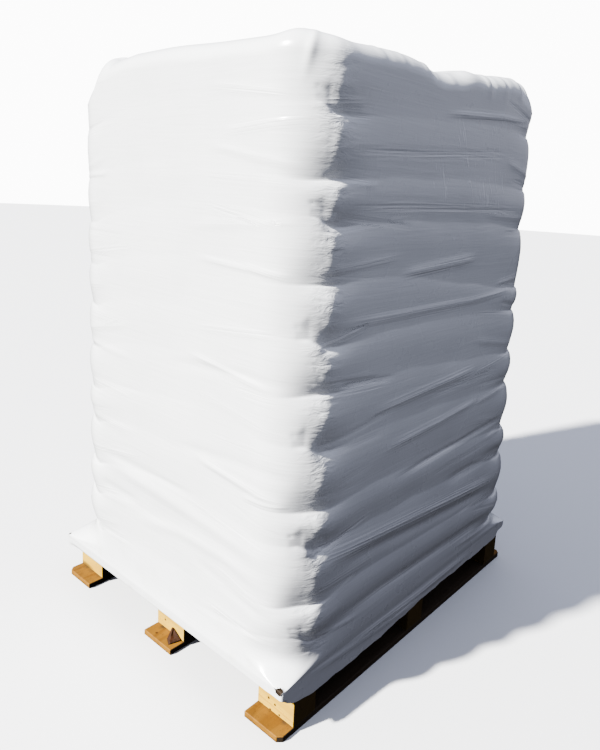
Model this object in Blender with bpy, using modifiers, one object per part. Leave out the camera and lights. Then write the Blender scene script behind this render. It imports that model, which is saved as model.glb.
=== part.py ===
"""A wooden pallet of sacks under a white stretch hood.

Metres, +Z up. The origin is the bottom centre of the pallet, X runs along its
bottom boards and Y across them. A small wedge of wood stands on the middle
bottom board, and the hood hangs over the edges of the deck.
"""

import math

import bmesh
import bpy
from mathutils import Matrix, Vector

CLEARANCE = 0.0003

PALLET_LENGTH = 1.300
PALLET_WIDTH = 1.100
BOTTOM_BOARD_WIDTH = 0.140
BOTTOM_BOARD_THICKNESS = 0.018
BOTTOM_BOARD_CORNER_CUT = 0.014
BLOCK_LENGTH = 0.090
BLOCK_WIDTH = 0.140
BLOCK_HEIGHT = 0.098
END_OVERHANG = 0.052
STRINGER_BOARD_THICKNESS = 0.020
DECK_BOARD_COUNT = 7
DECK_BOARD_WIDTH = 0.140
DECK_BOARD_THICKNESS = 0.022
SAWN_EDGE = 0.0015

# Twelve layers of five sacks. The bottom one is pressed flat.
LAYER_COUNT = 12
BOTTOM_LAYER_HEIGHT = 0.092
LAYER_HEIGHT = 0.140
TOP_LAYER_HEIGHT = 0.162
LOAD_CORNER_RADIUS = 0.140
LOAD_EDGE_SETBACK = 0.002
LOAD_TAPER = 0.008
SACK_ROW_SHARE = 0.4
# Share of a layer's height, and how far the side is drawn in there, of 1 at a seam.
SACK_PROFILE = ((0.0, 1.0), (0.2, 0.0), (0.8, 0.0), (1.0, 1.0))
SACK_GROOVE_WIDTH = 0.030
SACK_GROOVE_DEPTH = 0.012
SACK_GROOVE_LIFT = 0.002

# The real film is thinner than a solid here can be.
FILM_THICKNESS = 0.0025
SEAM_DEPTH = 0.006
SEAM_CORNER_DEPTH = 0.030
SACK_SEAM_DEPTH = 0.005
SACK_TO_FILM = 0.0040
SHOULDER_HEIGHT = 0.085
SHOULDER_DEPTH = 0.090
SHOULDER_TURNS = (0, 30, 60, 90)
DECK_CORNER_RADIUS = 0.005
FILM_OVER_DECK = 0.003
SKIRT_SHARES = (0.25, 0.5, 0.8)
HEM_UNDER_ENDS = 0.131
HEM_UNDER_SIDES = 0.072
HEM_AT_CORNERS = 0.143
HEM_CORNER_REACH = 0.090
# The deck's corners have torn two holes: the middle and width of each.
TORN_HOLES = (((-0.650, -0.543, 0.161), 0.026), ((-0.650, 0.518, 0.164), 0.012))

CORNER_STEPS = 5
LONG_SIDE_STEPS = (0.06, 0.20, 0.80, 0.94)
END_STEPS = (0.06, 0.94)
SMOOTH_ANGLE = 40

# Its foot on the board and its top, from the middle of the pallet.
WEDGE_CORNERS = (
    (-0.640, -0.045, 0.0),
    (-0.599, -0.058, 0.0),
    (-0.617, -0.010, 0.0),
    (-0.601, -0.020, 0.012),
    (-0.619, -0.045, 0.052),
)

DECK_TOP = (
    BOTTOM_BOARD_THICKNESS + BLOCK_HEIGHT + STRINGER_BOARD_THICKNESS + DECK_BOARD_THICKNESS
)
FIRST_SEAM = DECK_TOP + BOTTOM_LAYER_HEIGHT
LOAD_TOP = FIRST_SEAM + (LAYER_COUNT - 2) * LAYER_HEIGHT + TOP_LAYER_HEIGHT
HOOD_TOP = LOAD_TOP + CLEARANCE + FILM_THICKNESS


def clear_scene():
    for thing in list(bpy.data.objects):
        bpy.data.objects.remove(thing, do_unlink=True)


def new_collection(name):
    collection = bpy.data.collections.new(name)
    bpy.context.scene.collection.children.link(collection)
    return collection


def new_material(name, colour, roughness, metallic=0.0):
    material = bpy.data.materials.new(name)
    material.use_nodes = True
    shader = material.node_tree.nodes["Principled BSDF"]
    shader.inputs["Base Color"].default_value = (*colour, 1.0)
    shader.inputs["Roughness"].default_value = roughness
    shader.inputs["Metallic"].default_value = metallic
    material.diffuse_color = (*colour, 1.0)
    return material


def add_object(name, mesh_data, collection, material=None):
    """Turn a bmesh into a named object, and free the bmesh."""
    bmesh.ops.recalc_face_normals(mesh_data, faces=mesh_data.faces)
    mesh = bpy.data.meshes.new(name)
    mesh_data.to_mesh(mesh)
    mesh_data.free()
    thing = bpy.data.objects.new(name, mesh)
    collection.objects.link(thing)
    if material is not None:
        mesh.materials.append(material)
    return thing


def add_sawn_edges(board):
    bevel = board.modifiers.new("sawn_edges", "BEVEL")
    bevel.width = SAWN_EDGE
    bevel.segments = 1
    bevel.limit_method = "ANGLE"


def add_board(name, low, high, collection, material, cut_corners=()):
    """A board between two corners, with some of its upright edges cut off.

    cut_corners holds the signs of X and Y of each upright edge that is cut.
    """
    low, high = Vector(low), Vector(high)
    size, middle = high - low, (high + low) / 2
    mesh_data = bmesh.new()
    bmesh.ops.create_cube(mesh_data, size=1.0, matrix=Matrix.Diagonal((*size, 1.0)))
    cut_edges = []
    for edge in mesh_data.edges:
        first, second = (vertex.co for vertex in edge.verts)
        signs = (math.copysign(1, first.x), math.copysign(1, first.y))
        if abs(first.z - second.z) > size.z / 2 and signs in cut_corners:
            cut_edges.append(edge)
    if cut_edges:
        bmesh.ops.bevel(
            mesh_data, geom=cut_edges, offset=BOTTOM_BOARD_CORNER_CUT, segments=1, affect="EDGES"
        )
    board = add_object(name, mesh_data, collection, material)
    board.location = middle
    add_sawn_edges(board)
    return board


def spread(count, reach):
    """Evenly spaced positions from -reach to reach."""
    return [-reach + 2 * reach * step / (count - 1) for step in range(count)]


def build_pallet(collection):
    old_wood = new_material("bottom_board_wood", (0.56, 0.33, 0.13), 0.75)
    block_wood = new_material("block_wood", (0.80, 0.62, 0.32), 0.70)
    deck_wood = new_material("deck_wood", (0.72, 0.54, 0.30), 0.75)
    half_length, half_width = PALLET_LENGTH / 2, PALLET_WIDTH / 2
    block_top = BOTTOM_BOARD_THICKNESS + BLOCK_HEIGHT
    stringer_top = block_top + STRINGER_BOARD_THICKNESS
    rows = dict(zip(("near", "middle", "far"), spread(3, half_width - BLOCK_WIDTH / 2)))
    files = dict(
        zip(("left", "centre", "right"), spread(3, half_length - END_OVERHANG - BLOCK_LENGTH / 2))
    )

    for row, y in rows.items():
        side = math.copysign(1, y)
        cut_corners = () if row == "middle" else ((-1, side), (1, side))
        add_board(
            f"bottom_board_{row}",
            (-half_length, y - BOTTOM_BOARD_WIDTH / 2, 0),
            (half_length, y + BOTTOM_BOARD_WIDTH / 2, BOTTOM_BOARD_THICKNESS),
            collection,
            old_wood,
            cut_corners,
        )
        for file, x in files.items():
            add_board(
                f"block_{row}_{file}",
                (x - BLOCK_LENGTH / 2, y - BLOCK_WIDTH / 2, BOTTOM_BOARD_THICKNESS + CLEARANCE),
                (x + BLOCK_LENGTH / 2, y + BLOCK_WIDTH / 2, block_top),
                collection,
                block_wood,
            )
    for file, x in files.items():
        add_board(
            f"stringer_board_{file}",
            (x - BLOCK_LENGTH / 2, -half_width, block_top + CLEARANCE),
            (x + BLOCK_LENGTH / 2, half_width, stringer_top),
            collection,
            deck_wood,
        )
    for number, y in enumerate(spread(DECK_BOARD_COUNT, half_width - DECK_BOARD_WIDTH / 2), 1):
        add_board(
            f"deck_board_{number}",
            (-half_length, y - DECK_BOARD_WIDTH / 2, stringer_top + CLEARANCE),
            (half_length, y + DECK_BOARD_WIDTH / 2, DECK_TOP),
            collection,
            deck_wood,
        )


def build_wedge(collection):
    """An offcut that stands on the middle bottom board, against its end block."""
    mesh_data = bmesh.new()
    foot = Vector((0, 0, BOTTOM_BOARD_THICKNESS + CLEARANCE))
    for corner in WEDGE_CORNERS:
        mesh_data.verts.new(foot + Vector(corner))
    bmesh.ops.convex_hull(mesh_data, input=mesh_data.verts)
    material = new_material("wedge_wood", (0.38, 0.17, 0.06), 0.8)
    add_object("wood_wedge", mesh_data, collection, material)


def section(half_x, half_y, radius):
    """The points of a rounded rectangle, anticlockwise from the +X side.

    The straight sides have points of their own near the corners, where the hem
    changes height.
    """
    arcs = []
    for turn, (sign_x, sign_y) in enumerate(((1, 1), (-1, 1), (-1, -1), (1, -1))):
        arc = []
        for step in range(CORNER_STEPS + 1):
            angle = math.pi / 2 * (turn + step / CORNER_STEPS)
            arc.append(
                Vector(
                    (
                        sign_x * (half_x - radius) + radius * math.cos(angle),
                        sign_y * (half_y - radius) + radius * math.sin(angle),
                    )
                )
            )
        arcs.append(arc)
    points = []
    for turn, arc in enumerate(arcs):
        steps = END_STEPS if turn % 2 else LONG_SIDE_STEPS
        after = arcs[(turn + 1) % 4][0]
        points += arc
        points += [arc[-1].lerp(after, share) for share in steps]
    return points


def load_section(z, seam, inset=0.0):
    """The load's outline at a height. seam is 1 at a seam of two layers, and 0 on a bulge."""
    taper = LOAD_TAPER * (z - FIRST_SEAM) / (LOAD_TOP - FIRST_SEAM)
    back = LOAD_EDGE_SETBACK + taper + SEAM_DEPTH * seam + inset
    radius = LOAD_CORNER_RADIUS + SEAM_CORNER_DEPTH * seam
    return section(PALLET_LENGTH / 2 - back, PALLET_WIDTH / 2 - back, radius)


def skirt_section(share, inset=0.0, least_radius=0.0):
    """The outline between the deck's edges, share 0, and the first seam, share 1."""
    smooth = share * share * (3 - 2 * share)
    reach = CLEARANCE + FILM_THICKNESS
    back = (LOAD_EDGE_SETBACK + SEAM_DEPTH + reach) * share - reach + inset
    seam_radius = LOAD_CORNER_RADIUS + SEAM_CORNER_DEPTH
    radius = DECK_CORNER_RADIUS + (seam_radius - DECK_CORNER_RADIUS) * smooth
    return section(
        PALLET_LENGTH / 2 - back, PALLET_WIDTH / 2 - back, max(radius, least_radius)
    )


def shoulder_rings(top, inset=0.0):
    """The outlines that round the load over into its flat top."""
    rings = []
    for turn in SHOULDER_TURNS:
        angle = math.radians(turn)
        z = top - SHOULDER_HEIGHT * (1 - math.sin(angle))
        outline = load_section(z, 0.0, inset + SHOULDER_DEPTH * (1 - math.cos(angle)))
        rings.append(at_height(outline, z))
    return rings


def loft(mesh_data, rings, closed_below=True):
    """Join rings of as many points each with faces, and close the top."""
    rows = [[mesh_data.verts.new(point) for point in ring] for ring in rings]
    for lower, upper in zip(rows, rows[1:]):
        for near in range(len(lower)):
            far = (near + 1) % len(lower)
            mesh_data.faces.new((lower[near], lower[far], upper[far], upper[near]))
    mesh_data.faces.new(rows[-1])
    if closed_below:
        mesh_data.faces.new(reversed(rows[0]))


def at_height(outline, z):
    return [Vector((point.x, point.y, z)) for point in outline]


def groove_cutter(name, lines, bottom, top, collection):
    """Bars set on edge along each line between two sacks, and up the side that it meets.

    A line is a start, an end, and the ends of it, of 0 and 1, that meet a side.
    """
    mesh_data = bmesh.new()
    edge_on = Matrix.Rotation(math.pi / 4, 4, "X")
    side = 1 / math.sqrt(2)

    def add_bar(on_face, direction, outward, length):
        aside = direction.cross(outward)
        turn = Matrix((direction, aside, outward)).transposed().to_4x4()
        size = (length / side, SACK_GROOVE_WIDTH, 2 * SACK_GROOVE_DEPTH, 1.0)
        place = Matrix.Translation(on_face + outward * SACK_GROOVE_LIFT)
        matrix = place @ turn @ Matrix.Diagonal(size) @ edge_on
        bmesh.ops.create_cube(mesh_data, size=side, matrix=matrix)

    upright = Vector((0, 0, 1))
    for start, end, outer_ends in lines:
        points = Vector((*start, 0)), Vector((*end, 0))
        run = points[1] - points[0]
        along = run.normalized()
        for z, outward in ((bottom, -upright), (top, upright)):
            middle = points[0] + run / 2 + upright * z
            add_bar(middle, along, outward, run.length + SACK_GROOVE_WIDTH)
        for outer_end in outer_ends:
            middle = points[outer_end] + upright * (bottom + top) / 2
            add_bar(middle, upright, along if outer_end else -along, 2 * (top - bottom))
    return add_cutter(name, mesh_data, collection)


def add_cutter(name, mesh_data, collection):
    cutter = add_object(name, mesh_data, collection)
    cutter.hide_render = True
    cutter.display_type = "WIRE"
    return cutter


def cut_with(thing, cutter):
    boolean = thing.modifiers.new(cutter.name, "BOOLEAN")
    boolean.operation = "DIFFERENCE"
    boolean.solver = "EXACT"
    boolean.use_self = True
    boolean.object = cutter


def build_sack_layer(number, bottom, top, collection, cutters, material):
    """One layer of five sacks: three across one side, two along the other."""
    rings = []
    for share, seam in SACK_PROFILE[:2] if number == LAYER_COUNT else SACK_PROFILE:
        z = bottom + (top - bottom) * share
        inset = SACK_TO_FILM + SACK_SEAM_DEPTH * seam
        if number == 1:
            outline = skirt_section(share, inset, LOAD_CORNER_RADIUS)
        else:
            outline = load_section(z, seam, inset)
        rings.append(at_height(outline, z))
    if number == LAYER_COUNT:
        rings += shoulder_rings(top, SACK_TO_FILM)
    mesh_data = bmesh.new()
    loft(mesh_data, rings)
    layer = add_object(f"sack_layer_{number:02d}", mesh_data, collection, material)

    half_x = max(point.x for point in rings[1])
    half_y = max(point.y for point in rings[1])
    side = 1 if number % 2 else -1
    split = side * half_y * (1 - 2 * SACK_ROW_SHARE)
    lines = [
        ((-half_x, split), (half_x, split), (0, 1)),
        ((0.0, split), (0.0, side * half_y), (1,)),
        ((-half_x / 3, split), (-half_x / 3, -side * half_y), (1,)),
        ((half_x / 3, split), (half_x / 3, -side * half_y), (1,)),
    ]
    cut_with(layer, groove_cutter(f"sack_gaps_{number:02d}", lines, bottom, top, cutters))


def build_load(collection, cutters):
    material = new_material("sack_film", (0.86, 0.87, 0.88), 0.45)
    for number in range(1, LAYER_COUNT + 1):
        bottom = DECK_TOP if number == 1 else FIRST_SEAM + (number - 2) * LAYER_HEIGHT
        top = LOAD_TOP if number == LAYER_COUNT else FIRST_SEAM + (number - 1) * LAYER_HEIGHT
        build_sack_layer(number, bottom + CLEARANCE, top, collection, cutters, material)


def hem_height(point):
    """The hem hangs lowest under the long sides and is drawn up round the corners."""
    from_end = max(0.0, PALLET_LENGTH / 2 - abs(point.x))
    from_side = max(0.0, PALLET_WIDTH / 2 - abs(point.y))
    lowest = HEM_UNDER_ENDS if from_end < from_side else HEM_UNDER_SIDES
    from_corner = max(from_end, from_side)
    return lowest + (HEM_AT_CORNERS - lowest) * math.exp(-from_corner / HEM_CORNER_REACH)


def hood_rings():
    """The hood's outer sections, from the hem to the edge of its flat top."""
    deck = skirt_section(0.0)
    rings = [[Vector((point.x, point.y, hem_height(point))) for point in deck]]
    rings.append(at_height(deck, DECK_TOP + FILM_OVER_DECK))
    for share in SKIRT_SHARES:
        rings.append(at_height(skirt_section(share), DECK_TOP + BOTTOM_LAYER_HEIGHT * share))
    for layer in range(LAYER_COUNT - 2):
        bottom = FIRST_SEAM + layer * LAYER_HEIGHT
        for share, seam in SACK_PROFILE[:3]:
            z = bottom + LAYER_HEIGHT * share
            rings.append(at_height(load_section(z, seam), z))
    for share, seam in SACK_PROFILE[:2]:
        z = LOAD_TOP - TOP_LAYER_HEIGHT * (1 - share)
        rings.append(at_height(load_section(z, seam), z))
    return rings + shoulder_rings(HOOD_TOP)


def build_hood(collection, cutters):
    mesh_data = bmesh.new()
    loft(mesh_data, hood_rings(), closed_below=False)
    material = new_material("hood_film", (0.90, 0.91, 0.92), 0.28)
    hood = add_object("stretch_hood", mesh_data, collection, material)
    solidify = hood.modifiers.new("film", "SOLIDIFY")
    solidify.thickness = FILM_THICKNESS
    solidify.offset = -1.0
    solidify.use_even_offset = True
    for number, (place, size) in enumerate(TORN_HOLES, 1):
        hole = bmesh.new()
        bmesh.ops.create_cube(hole, size=size, matrix=Matrix.Translation(place))
        cut_with(hood, add_cutter(f"torn_hole_{number}", hole, cutters))
    hood.data.shade_smooth()
    hood.data.set_sharp_from_angle(angle=math.radians(SMOOTH_ANGLE))


def main():
    clear_scene()
    parts = new_collection("hooded_pallet_of_sacks")
    cutters = new_collection("cutters")
    build_pallet(parts)
    build_wedge(parts)
    build_load(parts, cutters)
    build_hood(parts, cutters)


main()
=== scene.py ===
"""Looks of a wooden pallet of sacks under a white stretch hood.

Metres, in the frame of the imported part: +X along the pallet's bottom boards, +Y across
them, +Z up. The photograph looks at the sunlit -X end and at the shaded -Y side, whose
shared corner is called near. The corner at the photograph's left edge is called left,
the one at its right edge right, and the hidden one far.
"""

import logging
import math
from dataclasses import dataclass, field
from enum import Enum

import bmesh
import bpy
import numpy as np
from mathutils import Matrix, Vector, noise


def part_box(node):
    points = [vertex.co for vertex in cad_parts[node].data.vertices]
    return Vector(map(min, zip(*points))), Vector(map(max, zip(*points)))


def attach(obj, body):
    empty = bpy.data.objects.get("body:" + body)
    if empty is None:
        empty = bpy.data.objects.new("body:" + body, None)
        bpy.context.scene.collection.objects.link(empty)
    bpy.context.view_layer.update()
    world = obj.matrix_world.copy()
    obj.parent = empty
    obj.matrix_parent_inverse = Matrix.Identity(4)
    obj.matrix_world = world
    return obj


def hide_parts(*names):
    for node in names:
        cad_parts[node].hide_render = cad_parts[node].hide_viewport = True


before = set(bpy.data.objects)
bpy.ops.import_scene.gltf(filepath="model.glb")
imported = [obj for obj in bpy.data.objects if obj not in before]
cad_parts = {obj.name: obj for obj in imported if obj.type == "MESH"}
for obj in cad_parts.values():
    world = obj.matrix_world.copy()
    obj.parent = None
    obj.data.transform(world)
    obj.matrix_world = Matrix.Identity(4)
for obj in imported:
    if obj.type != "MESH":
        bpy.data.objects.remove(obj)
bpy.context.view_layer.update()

SEED = 11

log = logging.getLogger("hooded_load")

Row = tuple[float, ...]
Colour = tuple[float, float, float]


class Kind(Enum):
    """What a shader value holds."""

    NUMBER = "number"
    VECTOR = "vector"
    COLOUR = "colour"


class Value:
    """A socket of a material. Its operators add the nodes that work them out."""

    def __init__(self, nodes: "Nodes", socket: bpy.types.NodeSocket, kind: Kind) -> None:
        """Wrap a socket.

        Args:
            nodes: The nodes that the socket is among.
            socket: The output socket.
            kind: What the socket holds.
        """
        self.nodes = nodes
        self.socket = socket
        self.kind = kind

    def __add__(self, other: "Operand") -> "Value":
        """Add."""
        return self.nodes.combine("ADD", self, other)

    def __sub__(self, other: "Operand") -> "Value":
        """Subtract the other."""
        return self.nodes.combine("SUBTRACT", self, other)

    def __rsub__(self, other: "Operand") -> "Value":
        """Subtract from the other."""
        return self.nodes.combine("SUBTRACT", other, self)

    def __mul__(self, other: "Operand") -> "Value":
        """Multiply."""
        return self.nodes.combine("MULTIPLY", self, other)

    __radd__ = __add__
    __rmul__ = __mul__

    def sine(self) -> "Value":
        """Take the sine."""
        return self.nodes.maths("SINE", self)

    def size(self) -> "Value":
        """Take the size of a number, without its sign."""
        return self.nodes.maths("ABSOLUTE", self)

    def step(self, low: float, high: float) -> "Value":
        """Rise smoothly from 0 to 1, or fall where low is above high.

        Args:
            low: The number at which the result is 0.
            high: The number at which it is 1.

        Returns:
            The share from 0 to 1.
        """
        settings = {"interpolation_type": "SMOOTHSTEP"}
        lower, upper = min(low, high), max(low, high)
        ends = {3: 0.0, 4: 1.0} if low < high else {3: 1.0, 4: 0.0}
        return self.nodes.add(
            "ShaderNodeMapRange", settings, {0: self, 1: lower, 2: upper, **ends}
        )

    def distance(self, place: Row) -> "Value":
        """Measure how far a vector lies from a place."""
        settings = {"operation": "DISTANCE"}
        return self.nodes.add("ShaderNodeVectorMath", settings, {0: self, 1: place}, "Value")

    def part(self, axis: str) -> "Value":
        """Take one axis of a vector."""
        return self.nodes.add("ShaderNodeSeparateXYZ", {}, {0: self}, output=axis)


Operand = Value | float | Row


class Nodes:
    """The calls that add nodes to a material or to the world."""

    def __init__(self, tree: bpy.types.NodeTree) -> None:
        """Keep the tree that the nodes are added to."""
        self.tree = tree

    def feed(self, socket: bpy.types.NodeSocket, value: Operand) -> None:
        """Link a value to an input, or set a constant on it.

        Args:
            socket: The input.
            value: What it takes. A plain colour is given without its alpha.
        """
        if isinstance(value, Value):
            self.tree.links.new(value.socket, socket)
        elif isinstance(value, tuple) and len(socket.default_value) == len(value) + 1:
            socket.default_value = (*value, 1.0)
        else:
            socket.default_value = value

    def add(
        self,
        node_type: str,
        settings: dict[str, object],
        sockets: dict[int | str, Operand],
        output: int | str = 0,
        kind: Kind = Kind.NUMBER,
    ) -> Value:
        """Add a node.

        Args:
            node_type: Blender's name of the node's type.
            settings: The node's own settings, which are set first.
            sockets: The values or links of its inputs, by name or number.
            output: The output to hand back.
            kind: What that output holds.

        Returns:
            The output as a value.
        """
        node = self.tree.nodes.new(node_type)
        for setting, value in settings.items():
            setattr(node, setting, value)
        for socket, value in sockets.items():
            self.feed(node.inputs[socket], value)
        return Value(self, node.outputs[output], kind)

    def maths(self, operation: str, *values: Operand) -> Value:
        """Add a Math node on numbers."""
        return self.add("ShaderNodeMath", {"operation": operation}, dict(enumerate(values)))

    def combine(self, operation: str, first: Operand, second: Operand) -> Value:
        """Work out an operation with the node that fits what the two values hold.

        Args:
            operation: The node's name of the operation.
            first: The first value.
            second: The second value.

        Returns:
            The result.
        """
        kinds = {value.kind for value in (first, second) if isinstance(value, Value)}
        if Kind.COLOUR in kinds:
            settings = {"data_type": "RGBA", "blend_type": operation}
            sockets = {0: 1.0, 6: first, 7: second}
            return self.add("ShaderNodeMix", settings, sockets, 2, Kind.COLOUR)
        if Kind.VECTOR in kinds:
            pair = {0: self.spread(first), 1: self.spread(second)}
            return self.add("ShaderNodeVectorMath", {"operation": operation}, pair, 0, Kind.VECTOR)
        return self.maths(operation, first, second)

    @staticmethod
    def spread(value: Operand) -> Operand:
        """Turn a plain number into a vector of three."""
        return (value,) * 3 if isinstance(value, (int, float)) else value

    def mix(self, share: Operand, first: Operand, second: Operand) -> Value:
        """Mix two colours by a share from 0, the first, to 1, the second."""
        sockets = {0: share, 6: first, 7: second}
        return self.add("ShaderNodeMix", {"data_type": "RGBA"}, sockets, 2, Kind.COLOUR)

    def place(self) -> Value:
        """The point of the surface, in metres in the part's frame."""
        return self.add("ShaderNodeTexCoord", {}, {}, "Object", Kind.VECTOR)

    def facing(self) -> Value:
        """The surface's normal, in the part's frame."""
        return self.add("ShaderNodeTexCoord", {}, {}, "Normal", Kind.VECTOR)

    def mask(self, name: str) -> Value:
        """A number stored on the mesh's points."""
        settings = {"attribute_name": name, "attribute_type": "GEOMETRY"}
        return self.add("ShaderNodeAttribute", settings, {}, "Fac")

    def noise(self, place: Value, scale: float, detail: float = 3.0, twist: float = 0.0) -> Value:
        """Smooth noise from 0 to 1.

        Args:
            place: Where to read it.
            scale: Waves in a metre of place.
            detail: How many finer octaves it has.
            twist: How far it is distorted.

        Returns:
            The noise.
        """
        sockets = {"Vector": place, "Scale": scale, "Detail": detail, "Distortion": twist}
        return self.add("ShaderNodeTexNoise", {}, sockets)

    def vector(self, x: Operand, y: Operand, z: Operand) -> Value:
        """Join three numbers to a vector."""
        return self.add("ShaderNodeCombineXYZ", {}, {0: x, 1: y, 2: z}, 0, Kind.VECTOR)

    def bump(self, height: Value, depth: float) -> Value:
        """The normal of a relief whose height runs from 0 to 1 over depth metres."""
        sockets = {"Height": height, "Distance": depth, "Strength": 1.0}
        return self.add("ShaderNodeBump", {}, sockets, 0, Kind.VECTOR)


class Finish(Nodes):
    """One material on the Principled shader."""

    def __init__(self, name: str, constants: dict[str, float | Row]) -> None:
        """Make the material.

        Args:
            name: The material's name.
            constants: Values set on the Principled shader's own sockets.
        """
        self.material = bpy.data.materials.new(name)
        self.material.use_nodes = True
        super().__init__(self.material.node_tree)
        self.shader = self.tree.nodes["Principled BSDF"]
        for socket, value in constants.items():
            self.feed(self.shader.inputs[socket], value)

    def dress(self, colour: Value, roughness: Value, normal: Value) -> bpy.types.Material:
        """Feed what varies over the surface to the shader.

        Args:
            colour: The base colour.
            roughness: The roughness.
            normal: The normal of the relief.

        Returns:
            The material.
        """
        self.feed(self.shader.inputs["Base Color"], colour)
        self.feed(self.shader.inputs["Roughness"], roughness)
        self.feed(self.shader.inputs["Normal"], normal)
        return self.material


@dataclass(frozen=True)
class FilmFinish:
    """White polyethylene film, drawn tight, with fine stretch marks, a little dust and painted shade on
    the side facing -Y.
    """

    name: str
    white: Colour = (0.84, 0.85, 0.85)
    greyed: Colour = (0.76, 0.77, 0.77)
    dust: Colour = (0.50, 0.46, 0.40)
    # Paler film: stretch whitening along the drawn lines, and the scuffs with their painted highlights.
    whitening_and_sheen: Colour = (0.95, 0.95, 0.95)
    # The grey of the painted shade on the side facing -Y.
    painted_shade_grey: Colour = (0.40, 0.40, 0.41)
    roughness: float = 0.28
    coat: float = 0.35
    coat_roughness: float = 0.13
    # The relief: level stretch marks, and crumples where the film is gathered.
    mark_depth: float = 0.0007
    mark_waves: Row = (3.0, 3.0, 46.0)
    fine_mark_waves: Row = (9.0, 9.0, 210.0)
    crumple_depth: float = 0.0040
    crumple_waves: Row = (0.38, 0.38, 1.0)
    # The heights between which dust fades out, and between which the shade painted on the side facing -Y
    # deepens towards the bottom.
    dusty_heights: Row = (0.35, 0.06)
    painted_shade_heights: Row = (1.15, 0.10)
    # The scuffed patch of the shaded side, which also paints highlights of its wrinkles: its x and z from
    # each edge to where it is whole.
    scuff_sheen_left: Row = (-0.16, -0.06)
    scuff_sheen_right: Row = (0.44, 0.34)
    scuff_sheen_bottom: Row = (1.40, 1.47)
    scuff_sheen_top: Row = (1.72, 1.64)
    shaded_side: Row = (-0.42, -0.47)

    def scuffs_and_sheen(self, film: Finish, place: Value) -> Value:
        """Where the film is scuffed, in slanting strokes that also paint highlights of wrinkles on the
        shaded side.

        Args:
            film: The finish that the nodes are added to.
            place: The point of the surface.

        Returns:
            A share from 0 to 1.
        """
        x, y, z = (place.part(axis) for axis in "XYZ")
        patch = x.step(*self.scuff_sheen_left) * x.step(*self.scuff_sheen_right)
        patch = patch * z.step(*self.scuff_sheen_bottom) * z.step(*self.scuff_sheen_top)
        patch = patch * y.step(*self.shaded_side)
        strokes = film.vector(x * 46.0 + z * 13.0, y * 4.0, z * 11.0)
        return film.noise(strokes, 1.0, 3.0, 1.2).step(0.60, 0.70) * patch

    def material(self) -> bpy.types.Material:
        """Build the material.

        Returns:
            The new material.
        """
        constants = {"IOR": 1.5, "Coat Weight": self.coat, "Coat Roughness": self.coat_roughness}
        film = Finish(self.name, constants)
        place = film.place()
        x, y, z = (place.part(axis) for axis in "XYZ")
        clouds = film.noise(place, 5.0, 4.0)
        drawn = film.mask("drawn")
        lines = film.noise(film.vector(x * 1.6, y * 1.6, film.mask("course") * 150.0), 1.0, 3.0, 0.1)
        scuffs_and_sheen = self.scuffs_and_sheen(film, place)
        dusty = z.step(*self.dusty_heights) * film.noise(place, 22.0, 4.0).step(0.50, 0.80) * 0.28
        # Painted shade: the side facing -Y is greyed, most towards the bottom.
        shaded = film.facing().part("Y").step(-0.45, -0.95) * (z.step(*self.painted_shade_heights) * 0.8 + 0.2)
        colour = film.mix(clouds.step(0.35, 0.75) * 0.5, self.white, self.greyed)
        colour = film.mix(dusty, colour, self.dust)
        colour = film.mix(shaded * 0.9, colour, self.painted_shade_grey)
        colour = film.mix(lines.step(0.50, 0.66) * drawn * 0.45, colour, self.whitening_and_sheen)
        # Scuffs, partly painted highlights of wrinkles on the shaded side.
        colour = film.mix(scuffs_and_sheen * 0.7, colour, self.whitening_and_sheen)
        roughness = clouds * 0.16 + (self.roughness - 0.08) + dusty * 0.4 + scuffs_and_sheen * 0.3
        marks = film.noise(place * self.mark_waves, 1.6, 5.0, 0.3)
        fine_marks = film.noise(place * self.fine_mark_waves, 1.0, 3.0)
        crumple = film.noise(place * self.crumple_waves, 56.0, 4.0, 0.5)
        ridges = 1.0 - (crumple - 0.5).size() * 2.6
        relief = (marks + fine_marks * 0.25) * (self.mark_depth / self.crumple_depth)
        relief = relief + ridges * film.mask("gather") * 0.60 + lines * drawn * 0.9 + scuffs_and_sheen * 0.15
        return film.dress(colour, roughness, film.bump(relief, self.crumple_depth))


class Grain(Enum):
    """Which way the fibres of a piece of wood run."""

    ALONG_X = (0.06, 1.0, 1.0)
    ALONG_Y = (1.0, 0.06, 1.0)
    ALONG_Z = (1.0, 1.0, 0.06)


@dataclass(frozen=True)
class Nick:
    """A small dark nick in a piece of wood."""

    place: Row
    reach: float = 0.005


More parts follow.
